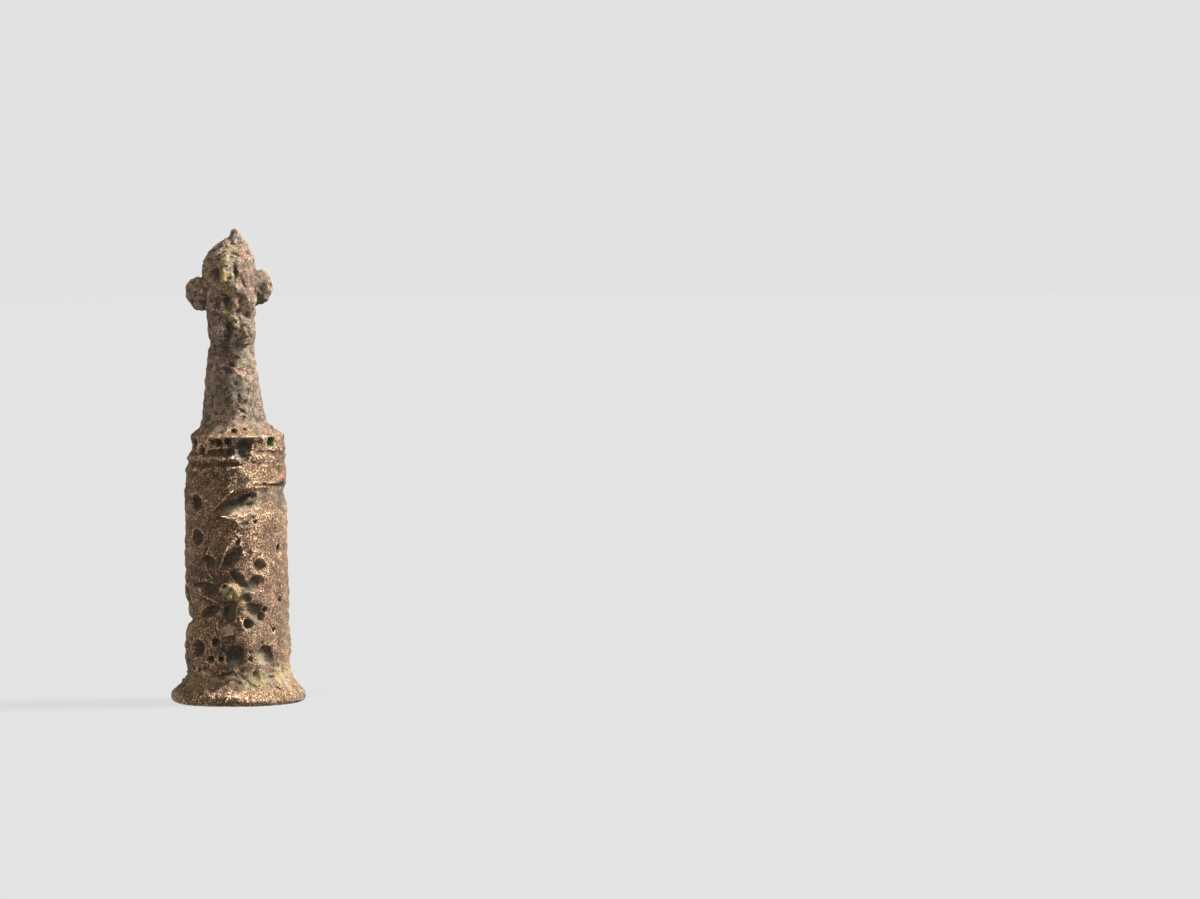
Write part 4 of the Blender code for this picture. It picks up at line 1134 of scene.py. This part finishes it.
@dataclass
class SoilCrust:
    """Crumbs of dried soil and copper salts that stick to the head's ridge, the star and the foot."""

    crumbs_per_square_metre: float = 3.0e6
    crumb_radius: float = 0.11 * MM
    # The smallest crumb and a crumb's thickness, as shares of that radius and of the crumb's own
    smallest: float = 0.35
    flatness: float = 0.55
    lump_size: float = 0.22 * MM
    lump_height: float = 0.16 * MM
    seed: int = 11

    @staticmethod
    def scatter_tree() -> bpy.types.NodeTree:
        """Geometry Nodes that set crumbs on a surface where its soil attribute is high.

        Returns:
            The tree, with a named input for each size.
        """
        sizes = ("Density", "Crumb Radius", "Smallest", "Flatness", "Lump Size", "Lump Height")
        sockets = dict.fromkeys(sizes, "NodeSocketFloat")
        sockets |= {"Seed": "NodeSocketInt", "Material": "NodeSocketMaterial"}
        tree, given = new_geometry_tree("soil_crumbs", sockets)
        add = partial(add_node, tree)
        seed = given.outputs["Seed"]
        soil = add(NAMED_ATTRIBUTE, NUMBERS, {"Name": "soil"}).outputs["Attribute"]
        cover = add(RANGE, SOFT_STEP, {"Value": soil, "From Min": 0.3, "From Max": 0.95}).outputs[0]
        density = add(MATH, TIMES, {0: cover, 1: given.outputs["Density"]}).outputs[0]
        points = {"Mesh": given.outputs["Geometry"], "Density": density, "Seed": seed}
        points = add("GeometryNodeDistributePointsOnFaces", {"distribute_method": "RANDOM"}, points)
        # Flattened balls of unlike size
        crumb = add("GeometryNodeMeshIcoSphere", {}, {"Radius": 1.0, "Subdivisions": 2}).outputs[0]
        size = {2: given.outputs["Smallest"], 3: 1.0, "Seed": seed}
        size = add("FunctionNodeRandomValue", NUMBERS, size).outputs[1]
        size = add(MATH, TIMES, {0: size, 1: given.outputs["Crumb Radius"]}).outputs[0]
        flat = add(MATH, TIMES, {0: size, 1: given.outputs["Flatness"]}).outputs[0]
        crumbs = {
            "Points": points.outputs["Points"],
            "Instance": crumb,
            "Rotation": points.outputs["Rotation"],
            "Scale": add("ShaderNodeCombineXYZ", {}, {0: size, 1: size, 2: flat}).outputs[0],
        }
        crumbs = add("GeometryNodeInstanceOnPoints", {}, crumbs).outputs[0]
        mesh = add("GeometryNodeRealizeInstances", {}, {"Geometry": crumbs}).outputs[0]
        # Lumps and dents, half above and half below each ball
        place = add("GeometryNodeInputPosition").outputs[0]
        normal = add("GeometryNodeInputNormal").outputs[0]
        scale = add(MATH, DIVIDED, {0: 1.0, 1: given.outputs["Lump Size"]}).outputs[0]
        lumps = {"Vector": place, "Scale": scale, "Detail": 1.0}
        lumps = add(NOISE, {"noise_dimensions": "3D"}, lumps).outputs["Fac"]
        lumps = add(MATH, MINUS, {0: lumps, 1: 0.5}).outputs[0]
        rise = add(MATH, TIMES, {0: lumps, 1: given.outputs["Lump Height"]}).outputs[0]
        offset = add(VECTOR_MATH, SCALED, {0: normal, "Scale": rise}).outputs[0]
        mesh = add("GeometryNodeSetPosition", {}, {"Geometry": mesh, "Offset": offset}).outputs[0]
        mesh = add("GeometryNodeSetShadeSmooth", {}, {"Geometry": mesh}).outputs[0]
        mesh = {"Geometry": mesh, "Material": given.outputs["Material"]}
        mesh = add("GeometryNodeSetMaterial", {}, mesh).outputs[0]
        add("NodeGroupOutput", {}, {0: mesh})
        return tree

    def build(self, body: bpy.types.Object, soil: bpy.types.Material) -> bpy.types.Object:
        """Scatters the crumbs over the finished seal.

        Args:
            body: The seal they stick to.
            soil: Their material.

        Returns:
            The finished piece.
        """
        values = {
            "Density": self.crumbs_per_square_metre,
            "Crumb Radius": self.crumb_radius,
            "Smallest": self.smallest,
            "Flatness": self.flatness,
            "Lump Size": self.lump_size,
            "Lump Height": self.lump_height,
            "Seed": self.seed,
            "Material": soil,
        }
        piece = grow(body, self.scatter_tree(), values, "soil_crust")
        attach(piece, "root")
        return piece


@dataclass(frozen=True)
class Sun:
    """A distant light: its degrees to the right of the front and above the floor, strength, size and tint."""

    name: str
    side: float
    elevation: float
    strength: float
    size: float
    tint: tuple[float, float, float]


@dataclass
class Studio:
    """Pale floor, soft daylight from the upper right and the camera."""

    floor_size: float = 6.0
    # Width of the film in millimetres, and the lens in pixels of the photograph
    film_width: float = 36.0
    focal_pixels: float = 5000.0
    picture_width: int = 1200
    picture_height: int = 899
    sole_pixel: tuple[float, float] = (238.4, 701.0)
    distance: float = 473.5 * MM
    pitch: float = 2.5
    roll: float = -0.35
    backdrop: str = "#E2E2E2"
    floor_glow: float = 0.9
    floor_grey: float = 0.02
    sky: tuple[float, float, float, float] = (0.235, 0.218, 0.19, 1.0)
    # Sines of the elevations between which the backdrop's tone turns into the sky's
    horizon: tuple[float, float] = (0.10, 0.30)
    suns: tuple[Sun, ...] = (
        Sun("key_light", 94.0, 40.0, 17.5, 16.0, (1.0, 0.995, 0.98)),
        Sun("top_light", 10.0, 70.0, 0.8, 40.0, (0.95, 0.97, 1.0)),
        Sun("fill_light", -30.0, 35.0, 1.7, 60.0, (1.0, 0.94, 0.86)),
    )

    def floor(self) -> bpy.types.Object:
        """Lays the matt pale floor under the sole.

        Returns:
            The floor, which is no part of the seal.
        """
        bpy.ops.mesh.primitive_plane_add(size=self.floor_size)
        made = bpy.context.object
        made.name = "studio_floor"
        # White paper, lit so evenly that it shows only a faint shadow
        material = bpy.data.materials.new("matt_white_paper")
        material.use_nodes = True
        shader = material.node_tree.nodes["Principled BSDF"]
        shader.inputs["Base Color"].default_value = (self.floor_grey,) * 3 + (1.0,)
        shader.inputs["Roughness"].default_value = 1.0
        shader.inputs["Specular IOR Level"].default_value = 0.0
        shader.inputs["Emission Color"].default_value = linear(self.backdrop)
        shader.inputs["Emission Strength"].default_value = self.floor_glow
        made.data.materials.append(material)
        return made

    def daylight(self) -> None:
        """Sets the soft surroundings, pale near the horizon and dimmer above, and the suns."""
        world = bpy.data.worlds.new("studio")
        bpy.context.scene.world = world
        world.use_nodes = True
        tree = world.node_tree
        add = partial(add_node, tree)
        ground = tree.nodes["Background"]
        way = add("ShaderNodeTexCoord").outputs["Generated"]
        up = add("ShaderNodeSeparateXYZ", {}, {0: way}).outputs[2]
        higher = add(RANGE, SOFT_STEP, {0: up, 1: self.horizon[0], 2: self.horizon[1]}).outputs[0]
        colour = {0: higher, 6: linear(self.backdrop), 7: self.sky}
        colour = add(MIX, COLOURS, colour).outputs[2]
        tree.links.new(colour, ground.inputs["Color"])
        for sun in self.suns:
            lamp = bpy.data.lights.new(sun.name, "SUN")
            lamp.energy = sun.strength
            lamp.angle = math.radians(sun.size)
            lamp.color = sun.tint
            holder = bpy.data.objects.new(sun.name, lamp)
            holder.rotation_euler = (math.radians(90 - sun.elevation), 0, math.radians(sun.side))
            bpy.context.scene.collection.objects.link(holder)

    def camera(self) -> bpy.types.Object:
        """Places the camera so that the sole's middle falls on its pixel and the seal's front faces the lens.

        Returns:
            The camera.
        """
        data = bpy.data.cameras.new("camera")
        data.sensor_width = self.film_width
        data.lens = self.film_width * self.focal_pixels / self.picture_width
        data.clip_start = 0.01
        data.clip_end = 20.0
        right = (self.sole_pixel[0] - self.picture_width / 2) / self.focal_pixels * self.distance
        down = (self.sole_pixel[1] - self.picture_height / 2) / self.focal_pixels * self.distance
        pitch = math.radians(self.pitch)
        roll = math.radians(self.roll)
        turned = Euler((math.pi / 2 - pitch, 0, 0)).to_matrix() @ Euler((0, 0, roll)).to_matrix()
        place = turned @ Vector((-right, down, self.distance))
        swing = Euler((0, 0, -math.atan2(place.x, -place.y))).to_matrix()
        made = bpy.data.objects.new("camera", data)
        made.location = swing @ place
        made.rotation_euler = (swing @ turned).to_euler()
        bpy.context.scene.collection.objects.link(made)
        bpy.context.scene.camera = made
        return made

    def build(self) -> None:
        """Sets up floor, light, camera and the picture's tones."""
        self.floor()
        self.daylight()
        self.camera()
        bpy.context.scene.view_settings.view_transform = "Standard"


def main() -> None:
    """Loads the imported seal, dresses it and sets up the studio."""
    logging.basicConfig(level=logging.INFO, format="%(name)s: %(message)s")
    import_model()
    Studio().build()
    body = SealBody().build(CorrodedBronze().material())
    LOG.info("seal_body: %d faces", len(body.data.polygons))
    crust = SoilCrust().build(body, CakedSoil().material())
    LOG.info("soil_crust: %d faces", len(crust.data.polygons))


if __name__ == "__main__":
    main()
